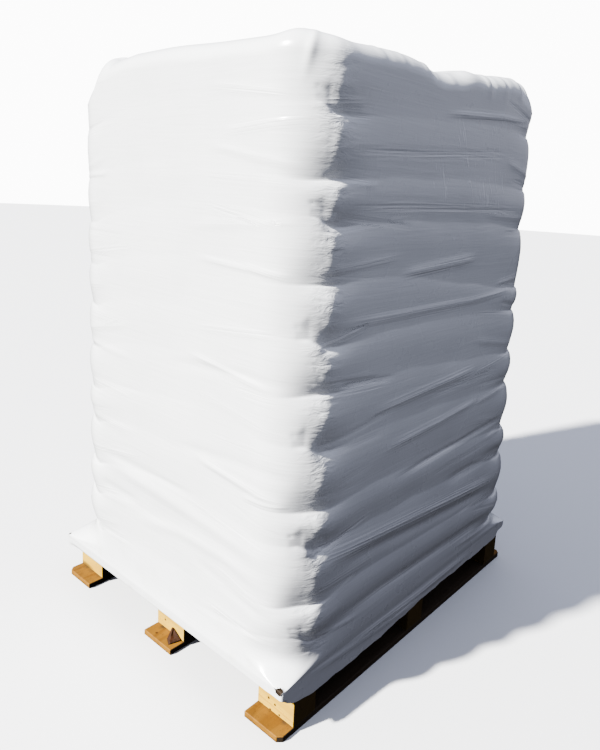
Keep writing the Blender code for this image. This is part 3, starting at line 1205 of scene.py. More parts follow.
    # The creases of the lit end and of the shaded side, from their points to the strength and the
    # reach of the lines beside them.
    end_creases: tuple[Crease, ...] = (
        Crease(((0.36, 0.524), (-0.09, 0.506), (-0.43, 0.485), (-0.52, 0.507)), 0.0042, 0.020),
        Crease(((0.15, 0.383), (-0.09, 0.424), (-0.29, 0.428), (-0.50, 0.403)), 0.0034, 0.018),
        Crease(((0.36, 0.548), (0.09, 0.556), (-0.20, 0.562)), -0.0024, 0.012),
        Crease(((-0.15, 0.365), (-0.29, 0.348), (-0.50, 0.312)), -0.0024, 0.016),
        Crease(((-0.05, 0.695), (-0.31, 0.722), (-0.44, 0.729), (-0.56, 0.713)), -0.0028, 0.014),
        Crease(((0.00, 0.940), (-0.35, 0.971), (-0.54, 0.968)), -0.0022, 0.013),
        Crease(((0.36, 0.436), (0.12, 0.440)), -0.0024, 0.012),
    )
    side_creases: tuple[Crease, ...] = (
        Crease(((-0.60, 0.490), (-0.34, 0.467), (0.11, 0.428), (0.56, 0.392)), 0.0032, 0.013, 1.6, 0.024),
        Crease(((-0.52, 0.440), (-0.21, 0.417), (0.0, 0.395), (0.56, 0.352)), -0.0055, 0.016),
        Crease(((-0.36, 0.854), (-0.08, 0.864), (0.30, 0.882)), 0.0022, 0.008, 1.2, 0.016),
        Crease(((-0.05, 0.838), (0.45, 0.842)), -0.0028, 0.007, 0.8, 0.012),
        Crease(((-0.30, 0.727), (0.03, 0.739), (0.34, 0.758)), 0.0028, 0.008, 1.0, 0.014),
        Crease(((-0.24, 0.614), (0.06, 0.621), (0.60, 0.640)), -0.0060, 0.009, 0.6, 0.016),
        Crease(((0.00, 0.560), (0.25, 0.566), (0.46, 0.575)), -0.0026, 0.006, 0.6, 0.012),
        Crease(((0.10, 0.498), (0.60, 0.508)), -0.0060, 0.018, 0.5, 0.020),
        Crease(((-0.50, 0.268), (-0.20, 0.262), (0.17, 0.252), (0.60, 0.238)), -0.0060, 0.018, 0.5, 0.03),
        Crease(((-0.58, 0.156), (-0.43, 0.141), (-0.19, 0.118), (0.10, 0.108)), 0.0022, 0.006, 0.6, 0.010),
        Crease(((-0.40, 0.148), (-0.20, 0.140), (0.04, 0.131), (0.40, 0.131)), 0.0016, 0.005, 1.4, 0.012),
        Crease(((-0.60, 1.124), (-0.21, 1.122), (0.19, 1.122), (0.58, 1.142)), 0.0022, 0.007, 0.8, 0.016),
        Crease(((-0.26, 1.236), (0.22, 1.265)), 0.0030, 0.008, 1.2, 0.018),
        Crease(((-0.50, 0.962), (-0.22, 0.940)), -0.0038, 0.008, 0.5, 0.012),
        Crease(((-0.55, 1.552), (-0.17, 1.571), (0.52, 1.622)), -0.0026, 0.008, 0.7, 0.014),
        Crease(((-0.55, 1.417), (-0.15, 1.422), (0.52, 1.422)), -0.0026, 0.007, 1.0, 0.012),
        Crease(((-0.10, 1.690), (0.30, 1.722), (0.52, 1.730)), 0.0020, 0.007, 0.8, 0.014),
    )
    pleats: tuple[Pleat, ...] = (
        Pleat(-0.373, 0.0060, 0.009, 0.055),
        Pleat(-0.283, 0.0040, 0.009, 0.060),
        Pleat(-0.161, 0.0100, 0.010, 0.055),
        Pleat(-0.026, 0.0030, 0.010, 0.070),
        Pleat(0.187, 0.0110, 0.011, 0.095),
        Pleat(0.294, 0.0060, 0.011, 0.110),
        Pleat(0.407, 0.0120, 0.011, 0.100),
        Pleat(0.490, 0.0080, 0.010, 0.100),
    )
    tears: tuple[Tear, ...] = (
        Tear((-0.6490, -0.5390, 0.1560), (-1.0, -0.4, 1.0), 0.0120, 0.0085),
        Tear((-0.6470, 0.5440, 0.1560), (-1.0, 1.0, 1.2), 0.0065, 0.0055),
    )

    def lay_out(self) -> Layout:
        """Lay out the upright lines of the mesh, closest together at the near corner.

        Returns:
            The lines.
        """
        corner, share, angle, around = [], [], [], []
        start = 0.0
        for number, here in enumerate(CORNERS):
            after = CORNERS[(number + 1) % 4]
            first_angle = math.pi + number * math.pi / 2
            arc = here.radii[0] * math.pi / 2
            steps = round(arc / here.column_spacing)
            for step in range(steps):
                corner.append(number)
                share.append(0.0)
                angle.append(first_angle + math.pi / 2 * step / steps)
                around.append(start + arc * step / steps)
            start += arc
            side = 2 * self.deck_half[number % 2] - here.radii[0] - after.radii[0]
            places, place = [0.0], 0.0
            while place < side:
                grown = here.column_spacing + self.column_growth * place
                shrunk = after.column_spacing + self.column_growth * max(side - place, 0)
                place += min(grown, shrunk, SIDES[number].widest_column)
                places.append(place)
            for place in np.array(places[:-1]) * (side / places[-1]):
                corner.append(number)
                share.append(max(place / side, 1e-9))
                angle.append(first_angle + math.pi / 2)
                around.append(start + place)
            start += side
        arrays = (np.array(values) for values in (corner, share, angle, around))
        return Layout(*arrays, start)

    def seams(self, layout: Layout) -> np.ndarray:
        """The height of each fold at each upright line.

        Args:
            layout: The upright lines.

        Returns:
            A row of heights for each fold, from the lowest.
        """
        share = layout.share
        even = self.first_seam + self.layer_height * np.arange(self.seam_count)[:, None]
        shifts = np.array([corner.seam_shifts for corner in CORNERS])
        here, after = shifts[layout.corner].T, shifts[(layout.corner + 1) % 4].T
        arch = np.array([side.seam_arch for side in SIDES])[layout.corner]
        arch = arch * (1 - np.abs(2 * share - 1) ** 3) * (share > 0)
        heights = even + here + (after - here) * smooth(share) + arch
        heights[::2] += self.pockets.lifted(layout.past(0))
        across, along = (self.wander_ring * turn(layout.angle) for turn in (np.cos, np.sin))
        for number in range(self.seam_count):
            ring = np.stack((across, along + number * self.wander_step, layout.around), axis=-1)
            heights[number] += self.seam_wander * perlin(ring, self.wander_waves)
        return heights

    def fold_depths(self, layout: Layout) -> np.ndarray:
        """The depth of each fold at each upright line.

        Args:
            layout: The upright lines.

        Returns:
            A row of depths for each fold, from the lowest.
        """
        side_depths = layout.of_sides(tuple(side.seam_depth for side in SIDES))
        depths = side_depths * np.linspace(*self.depth_shares, self.seam_count)[:, None]
        for number, corner in enumerate(CORNERS):
            weights = np.array(corner.seam_weights)[:, None]
            beside = layout.beside(number, self.corner_flat, self.corner_reach)
            depths += beside * (corner.seam_depth * weights - self.corner_relief)
        nothing = np.zeros_like(layout.around)
        for number in range(self.seam_count):
            ring = np.stack((layout.around, nothing + number * self.depth_step, nothing), axis=-1)
            depths[number] *= 1 + self.depth_wander * perlin(ring, self.depth_waves)
        return depths

    def fans(self, number: int) -> list[Crease]:
        """Creases that fan out from the folds at both ends of a side, the same on each run.

        Args:
            number: The side's number.

        Returns:
            The creases.
        """
        chance = np.random.default_rng(SEED + number)
        half = self.deck_half[number % 2]
        found = []
        for corner_number in (number, (number + 1) % 4):
            corner = CORNERS[corner_number]
            end = corner.toward[number % 2]
            for seam in range(self.seam_count):
                height = self.first_seam + self.layer_height * seam + corner.seam_shifts[seam]
                for _ in range(self.fans_at_a_fold):
                    start, run = chance.uniform(*self.fan_starts), chance.uniform(*self.fan_runs)
                    low, slope = chance.uniform(*self.fan_places), chance.uniform(*self.fan_slopes)
                    drawn = chance.uniform(*self.fan_strengths)
                    lift = self.fan_height * chance.uniform(-1.0, 1.0)
                    tip = (end * (half - start), height + low)
                    tail = (end * (half - start - run), height + low + slope * run)
                    crease = Crease((tip, tail), lift, self.fan_width, drawn, self.fan_drawn_reach)
                    found.append(crease)
        return found

    def section(self, z: np.ndarray, layout: Layout) -> tuple[np.ndarray, ...]:
        """The hood's plain outline, without its folds.

        Args:
            z: Heights, as rows of upright lines.
            layout: The upright lines.

        Returns:
            The x and y of each point, and the x and y of its outward normal.
        """
        rise = np.clip(z - self.deck_top, 0, None)
        flare = 1 - np.exp(-rise / self.flare_height)
        side_flare = 1 - np.exp(-rise / self.side_flare_height)
        height_share = np.clip((z - self.first_seam) / (self.top.level - self.first_seam), 0, 1)
        back = self.load_setback * side_flare + self.load_taper * height_share - self.film_gap
        shift = side_flare * (1 - self.upright_share * height_share)
        skirt = self.skirt_rounding * hill(z - self.skirt_rounding_height, self.skirt_rounding_reach)
        radii = []
        for corner in CORNERS:
            full = corner.radii[0] + (corner.radii[1] - corner.radii[0]) * height_share + skirt
            radii.append(self.deck_corner_radius + (full - self.deck_corner_radius) * flare)
        found = []
        for axis, turned in enumerate((np.cos(layout.angle), np.sin(layout.angle))):
            normal = np.broadcast_to(turned, z.shape)
            edges = []
            for corner, radius in zip(CORNERS, radii):
                middle = corner.toward[axis] * (self.deck_half[axis] - back - radius)
                edges.append(middle + self.load_shift[axis] * shift + radius * normal)
            start = np.choose(layout.corner, edges)
            end = np.choose((layout.corner + 1) % 4, edges)
            found.append((start + (end - start) * layout.share, normal))
        (x, normal_x), (y, normal_y) = found
        return x, y, normal_x, normal_y

    def fold(self, rise: np.ndarray, guide: Guide) -> np.ndarray:
        """How far into its folds the film lies across a layer, from 0 to 1.

        Args:
            rise: The share of the way up from the lower fold to the upper one.
            guide: What the rows follow.

        Returns:
            1 at the folds, and 0 where the layer bulges most.
        """
        turn = np.clip(rise, 0, 1) ** (math.log(0.5) / math.log(self.bulge_peak))
        lower = self.lower_powers[0] - self.lower_powers[1] * guide.sharpness
        upper = self.upper_powers[0] - self.upper_powers[1] * guide.sharpness * (1 - guide.rounding)
        return 1 - np.sin(math.pi * turn) ** np.where(turn < 0.5, lower, upper)

    def guide(self, layout: Layout) -> Guide:
        """Work out what the rows of the walls follow.

        Args:
            layout: The upright lines.

        Returns:
            The guide.
        """
        level = np.ones((1, len(layout.share)))
        edge_x, edge_y, _, _ = self.section(level * self.deck_top, layout)
        top_x, top_y, _, _ = self.section(level * self.top.level, layout)
        inner = 1 - self.shoulder_depth / self.middling_half
        past = layout.past(0)
        sharpness, gathered, slope = np.zeros((3, len(past)))
        shoulder = np.full(len(past), self.shoulder_height)
        for number, corner in enumerate(CORNERS):
            sharpness = np.maximum(sharpness, layout.beside(number, *self.sharp_reaches))
            shift = self.gather_shift if number == 0 else 0.0
            gathered = np.maximum(gathered, hill(layout.past(number) - shift, self.gather_reach))
            beside = layout.beside(number, *self.shoulder_reaches)
            shoulder += (corner.shoulder - self.shoulder_height) * beside
            slope += corner.slope * beside
        return Guide(
            past=past,
            hem=self.hem.height(edge_x[0], edge_y[0], self.deck_half),
            crest=self.top.height(top_x[0] * inner, top_y[0] * inner),
            seams=self.seams(layout),
            depths=self.fold_depths(layout),
            sharpness=sharpness,
            rounding=self.rounder * hill(past - self.rounder_past, self.rounder_reach),
            gathered=gathered,
            shoulder=shoulder,
            slope=slope,
        )

    def hollow(self, number: int, z: np.ndarray, fold: np.ndarray, guide: Guide) -> np.ndarray:
        """How deep a row lies in a fold and its pocket.

        Args:
            number: The fold's number, from the lowest.
            z: The row's heights.
            fold: How far into the fold it lies, from 0 to 1.
            guide: What the rows follow.

        Returns:
            The depth in metres.
        """
        sunk = self.pockets.depth(number, z - guide.seams[number], guide.past)
        return guide.depths[number] * fold * self.pockets.bridged(number, guide.past) + sunk

    def build_rows(self, guide: Guide) -> Walls:
        """Lay out the rows of the walls, which follow the folds, and how they bulge.

        Args:
            guide: What the rows follow.

        Returns:
            The rows.
        """
        walls = Walls()
        skirt_top = self.deck_top - self.skirt_drop
        lowest = guide.seams[0]
        for step in range(self.hem_rows):
            walls.add(guide.hem + (skirt_top - guide.hem) * step / self.hem_rows, 0.0, 0.0)
        for step in range(self.flare_rows):
            share = (step / self.flare_rows) ** self.flare_gather
            z = skirt_top + (lowest - skirt_top) * share
            rise = 1 - np.clip((lowest - z) / self.lowest_bulge, 0, 1) * (1 - self.bulge_peak)
            fold = self.fold(rise, guide) * ramp(share, self.lowest_fold_span)
            gather = guide.gathered * ramp(share, self.lowest_gather_span) * self.lowest_gather
            walls.add(z, self.hollow(0, z, fold, guide), gather)
        for number, lower in enumerate(guide.seams[:-1]):
            for step in range(self.layer_rows):
                share = self.row_share(step)
                z = lower + (guide.seams[number + 1] - lower) * share
                fold = self.fold(np.full_like(z, share), guide)
                nearest = number + (share >= self.bulge_peak)
                grown = (1 - self.foot_gather) * ramp(share, self.layer_gather_span)
                gather = guide.gathered * (self.foot_gather + grown)
                walls.add(z, self.hollow(nearest, z, fold, guide), gather)
        last, highest = self.seam_count - 1, guide.seams[-1]
        for step in range(self.layer_rows):
            z = highest + (guide.crest - guide.shoulder - highest) * self.row_share(step)
            rise = np.clip((z - highest) / self.highest_bulge, 0, 1) * self.bulge_peak
            depth = self.hollow(last, z, self.fold(rise, guide), guide)
            walls.add(z, depth, guide.gathered * self.highest_gather)
        for step in range(self.shoulder_rows):
            share = step / (self.shoulder_rows - 1)
            turn = math.pi / 2 * share
            upward = math.sin(turn) + guide.slope * (share - math.sin(turn))
            inward = 1 - math.cos(turn) + guide.slope * (share - 1 + math.cos(turn))
            z = guide.crest - guide.shoulder * (1 - upward)
            walls.add(z, self.shoulder_depth * inward, guide.gathered * self.shoulder_gather)
        return walls

    def row_share(self, step: int) -> float:
        """The share of the way up a layer at which a row lies."""
        even = step / self.layer_rows
        return even - self.row_gather * math.sin(math.tau * even) / math.tau

    def draw_creases(
        self, x: np.ndarray, y: np.ndarray, z: np.ndarray, layout: Layout
    ) -> tuple[np.ndarray, np.ndarray, np.ndarray]:
        """Draw the creases on all four sides.

        Args:
            x: The x of each point.
            y: The y of each point.
            z: The height of each point.
            layout: The upright lines.

        Returns:
            How far each point is lifted, how strongly fine lines are drawn there, and its
            place across those lines.
        """
        lift, drawn, course = np.zeros_like(z), np.zeros_like(z), np.zeros_like(z)
        measured = (self.side_creases, (), (), self.end_creases)
        for number in range(4):
            on_side = layout.facing(number)
            along = (x, y)[number % 2]
            for crease in (*measured[number], *self.fans(number)):
                above, fade = crease.course(along, z)
                fade = fade * on_side
                lift += crease.height * hill(above, crease.width) * fade
                strength = crease.drawn * hill(above, crease.drawn_reach) * fade
                course = np.where(strength > drawn, above + 3.1 * crease.points[0][1], course)
                drawn = np.maximum(drawn, strength)
        return lift, drawn, course

    def relief(self, points: np.ndarray, gather: np.ndarray) -> np.ndarray:
        """The crumples and swells of the film.

        Args:
            points: The points of the plain outline.
            gather: How gathered the film is at each.

        Returns:
            How far each point is lifted.
        """
        crumple = np.zeros_like(gather)
        for share, waves in self.crumples:
            crumple += share * (1 - 2 * np.abs(perlin(points, waves)))
        swell = self.swell_height * perlin(points, self.swell_waves)
        return gather * self.crumple_height * crumple + swell * ramp(points[..., 2], self.swell_span)

    def shell(self, layout: Layout) -> tuple[np.ndarray, dict[str, np.ndarray]]:
        """Work out every point of the film.

        Args:
            layout: The upright lines.

        Returns:
            The points as rows of upright lines, and the masks that its finish reads.
        """
        guide = self.guide(layout)
        walls = self.build_rows(guide)
        z, depth, gather = np.array(walls.z), np.array(walls.depth), np.array(walls.gather)
        x, y, normal_x, normal_y = self.section(z, layout)
        out, drawn, course = self.draw_creases(x, y, z, layout)
        for pleat in self.pleats:
            out += pleat.relief(x, guide.crest - z) * layout.facing(0)
        out += self.relief(np.stack((x, y, z), axis=-1), gather)
        out += self.ridge.lift(guide.past, z, depth)
        fade_span = (self.deck_top, self.deck_top + self.fold_fade)
        out -= depth * np.where(z > self.first_seam, 1.0, ramp(z, fade_span))
        out -= self.hem.tucked(z, guide.hem)
        points = np.stack((x + normal_x * out, y + normal_y * out, z), axis=-1)
        points = np.concatenate((points, self.close_top(points[-1])))
        masks = {}
        for name, values in {"gather": gather, "drawn": drawn, "course": course}.items():
            masks[name] = np.pad(values, ((0, len(self.top_scales)), (0, 0)), "edge")
        return points, masks

    def close_top(self, edge: np.ndarray) -> np.ndarray:
        """The rings of points that close the top.

        Args:
            edge: The points of the walls' last row.

        Returns:
            The rings, from the edge inwards.
        """
        middle = edge.mean(axis=0)
        rings = np.array([middle + (edge - middle) * scale for scale in self.top_scales])
        level = edge[:, 2] - self.top.height(edge[:, 0], edge[:, 1])
        for scale, ring in zip(self.top_scales, rings):
            taken_up = level * ramp(scale, self.top_edge_span)
            ring[:, 2] = self.top.height(ring[:, 0], ring[:, 1]) + taken_up
        return rings

    def build(self) -> list[bpy.types.Object]:
        """Build and dress the hood.

        Returns:
            The hood, in a list.
        """
        points, masks = self.shell(self.lay_out())
        rows, count = points.shape[:2]
        faces = grid_faces(rows, count)
        top, last = rows * count, (rows - 1) * count
        faces += [(last + column, last + (column + 1) % count, top) for column in range(count)]
        flat = np.concatenate((points.reshape(-1, 3), points[-1].mean(axis=0)[None]))
        material = self.finish.material()
        hood = make_piece("hood_film", flat, faces, material, ("stretch_hood",))
        for name, values in masks.items():
            mask = hood.data.attributes.new(name, "FLOAT", "POINT")
            mask.data.foreach_set("value", np.append(values.ravel(), 0.0).astype(np.float32))
        shape = bmesh.new()
        shape.from_mesh(hood.data)
        for tear in self.tears:
            tear.cut(shape)
        shape.to_mesh(hood.data)
        shape.free()
        return [hood]


@dataclass
class SackLayer:
    """Five filled sacks that lie side by side: three across one side, two along the other."""

    number: int
    low: Vector
    high: Vector
    material: bpy.types.Material
    row_share: float = 0.4
    corner_radius: float = 0.185
    gap: float = 0.004
    rows: int = 22
    columns: int = 28
    # A sack's ends: the share of its width there, and half the thickness of its seam.
    end_width: float = 0.86
    half_seam: float = 0.001
    # How square its section is, level and upright: 1 for an ellipse, 0 for a box.
    roundness: Row = (0.55, 0.8)
    sag: float = 0.002
    sag_waves: Row = (9.0, 9.0, 9.0)

    def sack(self, low: Vector, high: Vector, lengthwise: bool) -> np.ndarray:
        """One sack as rings of points along its length.

        Args:
            low: The lowest corner of the space that it fills.
            high: The highest corner.
            lengthwise: Whether its length runs along X.

        Returns:
            The points, as rows of columns.
        """
        half = (high - low) / 2
        middle = (high + low) / 2
        length, width = (half.x, half.y) if lengthwise else (half.y, half.x)
        turns = np.linspace(0, math.tau, self.columns, endpoint=False)
        stations = np.sin(np.linspace(-math.pi / 2, math.pi / 2, self.rows))
        rings = []
        for station in stations:
            belly = (1 - abs(station) ** 5) ** 0.5
            across = width * (self.end_width + (1 - self.end_width) * (1 - abs(station) ** 6))
            thick = self.half_seam + (half.z - self.half_seam) * belly
            side = np.sign(np.cos(turns)) * np.abs(np.cos(turns)) ** self.roundness[0] * across
            upright = np.sign(np.sin(turns)) * np.abs(np.sin(turns)) ** self.roundness[1] * thick
            place = np.full(self.columns, station * length)
            pair = (place, side) if lengthwise else (-side, place)
            rings.append(np.stack((*pair, upright), axis=-1))
        return np.array(rings) + np.array(middle)

    def spaces(self) -> list[tuple[Vector, Vector, bool]]:
        """Share out the layer's space among its sacks.

        Returns:
            The lowest and the highest corner of each sack's space, and whether it lies along X.
        """
        flip = 1 if self.number % 2 else -1
        low, high = self.low, self.high
        middle = (low.y + high.y) / 2
        half = (high.y - low.y) / 2
        split = middle + flip * half * (1 - 2 * self.row_share)
        pair_edge = high.y if flip > 0 else low.y
        trio_edge = low.y if flip > 0 else high.y
        found = []
        for edge, count, lengthwise in ((pair_edge, 2, True), (trio_edge, 3, False)):
            bottom, top = min(split, edge) + self.gap, max(split, edge) - self.gap
            for step in range(count):
                left = low.x + (high.x - low.x) * step / count + self.gap
                right = low.x + (high.x - low.x) * (step + 1) / count - self.gap
                found.append((Vector((left, bottom, low.z)), Vector((right, top, high.z)), lengthwise))
        return found

    def rounded(self, points: np.ndarray) -> np.ndarray:
        """Draw in what stands past the load's rounded corners.

        Args:
            points: The sacks' points.

        Returns:
            The points, all inside the rounded outline.
        """
        low, high = np.array(self.low)[:2], np.array(self.high)[:2]
        middle, half = (low + high) / 2, (high - low) / 2 - self.corner_radius
        away = points[:, :2] - middle
        over = np.clip(np.abs(away) - half, 0, None)
        reach = np.maximum(np.hypot(over[:, 0], over[:, 1]), self.corner_radius)
        held = np.minimum(np.abs(away), half) + over * (self.corner_radius / reach)[:, None]
        points[:, :2] = middle + np.sign(away) * held
        return points

    def build(self) -> bpy.types.Object:
        """Build the layer's sacks as one piece.

        Returns:
            The piece.
        """
        points, faces = [], []
        for low, high, lengthwise in self.spaces():
            start = sum(len(part) for part in points)
            rings = self.sack(low, high, lengthwise)
            points.append(rings.reshape(-1, 3))
            rows, columns = rings.shape[:2]
            faces += [tuple(start + corner for corner in face) for face in grid_faces(rows, columns)]
            faces.append(tuple(start + column for column in reversed(range(columns))))
            faces.append(tuple(start + (rows - 1) * columns + column for column in range(columns)))
        flat = self.rounded(np.concatenate(points))
        over_foot = ramp(flat[:, 2], (self.low.z, self.low.z + 0.05))
        flat[:, 2] += self.sag * perlin(flat, self.sag_waves) * over_foot
        name = f"sacks_{self.number:02d}"
        node = f"sack_layer_{self.number:02d}"
        layer = make_piece(name, flat, faces, self.material, (node,))
        return layer


@dataclass
class Load:
    """The twelve layers of sacks."""

    layer_count: int = 12
    clearance: float = 0.020
    finish: FilmFinish = FilmFinish("sack_film", roughness=0.45, coat=0.0, mark_depth=0.0004)

    def build(self) -> list[bpy.types.Object]:
        """Build each layer in the space of its CAD node.

        Returns:
            The layers, from the lowest.
        """
        material = self.finish.material()
        inset = Vector((self.clearance, self.clearance, 0))
        layers = []
        for number in range(1, self.layer_count + 1):
            low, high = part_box(f"sack_layer_{number:02d}")
            layers.append(SackLayer(number, low + inset, high - inset, material).build())
        return layers


@dataclass
class Pallet:
    """The wooden pallet: its CAD nodes stay, and take better materials."""

    bottom_board: WoodFinish = WoodFinish(
        "bottom_board_wood",
        Grain.ALONG_X,
        (0.182, 0.090, 0.015),
        (0.110, 0.046, 0.006),
        stained=0.25,
        # Its painted shade: the colour, and how far from the middle it starts.
        painted_shade_colour=(0.026, 0.021, 0.016),
        painted_shade_from=0.600,
        paler_ends=0.5,
        soiled_below=0.010,
        nicks=(Nick((-0.6308, 0.0272, 0.018)),),
    )
    block: WoodFinish = WoodFinish(
        "block_wood",
        Grain.ALONG_Y,
        (0.56, 0.36, 0.055),
        (0.44, 0.25, 0.032),
        stained=0.06,
        specked=0.35,
        # How far from the middle its painted shade starts.
        painted_shade_from=0.580,
        nicks=(
            Nick((-0.598, -0.4530, 0.0532)),
            Nick((-0.598, -0.4783, 0.0457), 0.004),
            Nick((-0.598, -0.4613, 0.0198)),
            Nick((-0.598, -0.4964, 0.0243), 0.004),
            Nick((-0.598, 0.0280, 0.0479), 0.005),
        ),
    )
    deck_board: WoodFinish = WoodFinish(
        "deck_wood", Grain.ALONG_X, (0.20, 0.12, 0.06), (0.13, 0.07, 0.03), stained=0.25
    )
    stringer: WoodFinish = WoodFinish(
        "stringer_wood", Grain.ALONG_Y, (0.20, 0.12, 0.06), (0.13, 0.07, 0.03), stained=0.25
    )

    def build(self) -> list[bpy.types.Object]:
        """Give every piece of wood its finish.

        Returns:
            The CAD nodes that took one.
        """
        dressed = []
        finishes = {
            "bottom_board": self.bottom_board.material(),
            "block": self.block.material(),
            "deck_board": self.deck_board.material(),
            "stringer_board": self.stringer.material(),
        }
        for name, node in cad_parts.items():
            for start, material in finishes.items():
                if name.startswith(start):
                    node.data.materials.clear()
                    node.data.materials.append(material)
                    dressed.append(node)
        return dressed


@dataclass
class Wedge:
    """The split offcut that leans on the middle bottom board against the block."""

    finish: WoodFinish = WoodFinish(
        "wedge_wood",
        Grain.ALONG_Z,
        (0.130, 0.034, 0.008),
        (0.048, 0.014, 0.004),
        stain=(0.012, 0.006, 0.003),
        # The colour of its painted shade.
        painted_shade_colour=(0.030, 0.014, 0.007),
        stained=0.7,
        saw_depth=0.004,
    )
    floor: float = 0.0183
    # The corners of its foot, anticlockwise from above, and of its blunt tip.
    foot: tuple[Row, ...] = (
        (-0.6398, -0.0464, 0.0),
        (-0.5992, -0.0600, 0.003),
        (-0.5995, -0.0110, 0.0),
        (-0.6262, -0.0195, 0.0),
    )
    tip: tuple[Row, ...] = (
        (-0.6045, -0.0205, 0.0265),
        (-0.6000, -0.0225, 0.0245),
        (-0.5998, -0.0160, 0.0255),
        (-0.6050, -0.0160, 0.0270),
    )
    rows: int = 16
    side_columns: int = 12
    # How deep its front is hollowed.
    hollow: float = 0.0045
    # How far the splinters of its faces stand out, along X and Y, and their waves in a metre.
    splinter: float = 0.00112
    splinter_waves: Row = (230.0, 230.0, 57.5)
    block_face: float = -0.5985

    def ring(self, rise: float) -> np.ndarray:
        """The points round the wedge at one height.

        Args:
            rise: The share of its height.

        Returns:
            The points, anticlockwise from above.
        """
        foot, tip = np.array(self.foot), np.array(self.tip)
        corners = foot + (tip - foot) * rise
        middle = corners.mean(axis=0)
        points = []
        for side, corner in enumerate(corners):
            after = corners[(side + 1) % len(corners)]
            for column in range(self.side_columns):
                share = column / self.side_columns
                point = corner + (after - corner) * share
                if side == 0:
                    inward = (middle - point)[:2] / np.hypot(*(middle - point)[:2])
                    sunk = self.hollow * math.sin(math.pi * share) * math.sin(math.pi * rise)
                    point[:2] += inward * sunk
                points.append(point)
        return np.array(points)

    def build(self) -> list[bpy.types.Object]:
        """Build the wedge as a split pyramid with a hollow front.

        Returns:
            The wedge, in a list.
        """
        points = np.array([self.ring(row / (self.rows - 1)) for row in range(self.rows)])
        points[..., :2] += self.splinter * perlin(points, self.splinter_waves)[..., None]
        points[..., 0] = np.minimum(points[..., 0], self.block_face)
        points[..., 2] += self.floor
        rows, columns = points.shape[:2]
        faces = grid_faces(rows, columns)
        faces.append(tuple(reversed(range(columns))))
        faces.append(tuple((rows - 1) * columns + column for column in range(columns)))
        flat = points.reshape(-1, 3)
        material = self.finish.material()
        return [make_piece("wedge", flat, faces, material, ("wood_wedge",))]


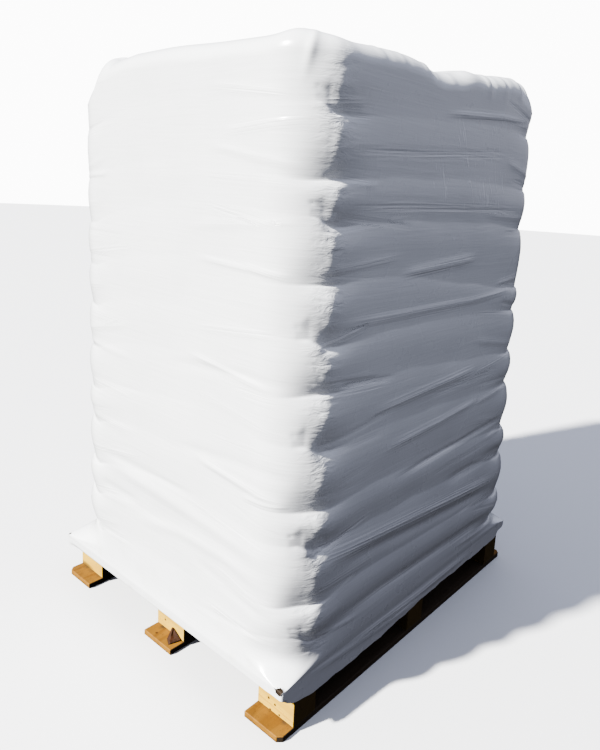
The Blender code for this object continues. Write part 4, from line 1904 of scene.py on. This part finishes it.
@dataclass
class Studio:
    """The pale floor, the lights and the camera at the photograph's angle."""

    azimuth: float = -49.988
    elevation: float = 10.491
    roll: float = 3.252
    camera_place: Row = (-1.7457, -1.5462, 1.4640)
    sensor_width: float = 36.0
    # The focal length, the picture's size and the point that the lens looks at, in pixels.
    focal_pixels: float = 647.627
    picture: Row = (600.0, 750.0)
    principal: Row = (326.43, 307.60)
    floor_radius: float = 30.0
    floor_colour: Colour = (0.74, 0.74, 0.74)
    backdrop: Colour = (6.0, 6.0, 6.0)
    zenith: Colour = (0.63, 0.68, 0.85)
    horizon: Colour = (0.43, 0.432, 0.495)
    ground: Colour = (0.03, 0.03, 0.033)
    sun_direction: Row = (-0.94, 0.34)
    sun_elevation: float = 38.0
    sun_strength: float = 16.0
    sun_angle: float = 3.0
    sun_colour: Colour = (1.0, 0.99, 0.965)

    def build_camera(self) -> None:
        """Place the camera where the photograph was taken from."""
        turn, tilt, roll = (math.radians(part) for part in (self.azimuth, self.elevation, self.roll))
        outward = Vector((math.sin(turn), -math.cos(turn), 0.0))
        back = outward * math.cos(tilt) + Vector((0.0, 0.0, math.sin(tilt)))
        level = Vector((math.cos(turn), math.sin(turn), 0.0))
        upright = back.cross(level)
        right = level * math.cos(roll) + upright * math.sin(roll)
        up = upright * math.cos(roll) - level * math.sin(roll)
        data = bpy.data.cameras.new("camera")
        long_side = max(self.picture)
        data.sensor_width = self.sensor_width
        data.lens = self.focal_pixels * data.sensor_width / long_side
        data.shift_x = (self.picture[0] / 2 - self.principal[0]) / long_side
        data.shift_y = (self.principal[1] - self.picture[1] / 2) / long_side
        camera = put("camera", data)
        turned = Matrix((right, up, back)).transposed().to_4x4()
        camera.matrix_world = Matrix.Translation(self.camera_place) @ turned
        bpy.context.scene.camera = camera

    def build_floor(self) -> bpy.types.Object:
        """Lay the floor.

        Returns:
            The floor.
        """
        shape = bmesh.new()
        bmesh.ops.create_circle(shape, cap_ends=True, segments=96, radius=self.floor_radius)
        mesh = bpy.data.meshes.new("floor")
        shape.to_mesh(mesh)
        shape.free()
        floor = put("floor", mesh)
        finish = Finish("floor", {"Specular IOR Level": 0.1})
        grain = finish.noise(finish.place(), 60.0, 3.0)
        paler = tuple(part + 0.02 for part in self.floor_colour)
        colour = finish.mix(grain, self.floor_colour, paler)
        mesh.materials.append(finish.dress(colour, grain * 0.1 + 0.8, finish.bump(grain, 0.0001)))
        floor.visible_diffuse = False
        floor.visible_glossy = False
        return floor

    def build_sky(self) -> None:
        """Light the studio softly from above, before a pale backdrop."""
        world = bpy.data.worlds.new("studio")
        world.use_nodes = True
        bpy.context.scene.world = world
        sky = Nodes(world.node_tree)
        height = sky.add("ShaderNodeTexCoord", {}, {}, "Generated", Kind.VECTOR).part("Z")
        light = sky.mix(height.step(-0.05, 0.05), self.ground, self.horizon)
        light = sky.mix(height.step(0.05, 0.75), light, self.zenith)
        seen = sky.add("ShaderNodeLightPath", {}, {}, "Is Camera Ray")
        background = world.node_tree.nodes["Background"]
        sky.feed(background.inputs["Color"], sky.mix(seen, light, self.backdrop))

    def build_key(self) -> None:
        """Hang the key light on the photograph's sunny side."""
        data = bpy.data.lights.new("key", "SUN")
        data.energy = self.sun_strength
        data.angle = math.radians(self.sun_angle)
        data.color = self.sun_colour
        key = put("key", data)
        tilt = math.radians(self.sun_elevation)
        toward = Vector((*(math.cos(tilt) * part for part in self.sun_direction), math.sin(tilt)))
        key.rotation_euler = toward.to_track_quat("Z", "Y").to_euler()

    def build(self) -> list[bpy.types.Object]:
        """Build the camera, the floor and the lights.

        Returns:
            The floor, in a list.
        """
        bpy.context.scene.view_settings.view_transform = "AgX"
        bpy.context.scene.view_settings.look = "AgX - Medium High Contrast"
        self.build_camera()
        floor = self.build_floor()
        self.build_sky()
        self.build_key()
        return [floor]


def main() -> None:
    """Build the studio, the pallet, the load and the hood, and report each piece."""
    for assembly in (Studio(), Pallet(), Wedge(), Load(), StretchHood()):
        for piece in assembly.build():
            log.info("built %s: %d faces", piece.name, len(piece.data.polygons))


if __name__ == "__main__":
    logging.basicConfig(level=logging.INFO, format="%(name)s: %(message)s")
    main()
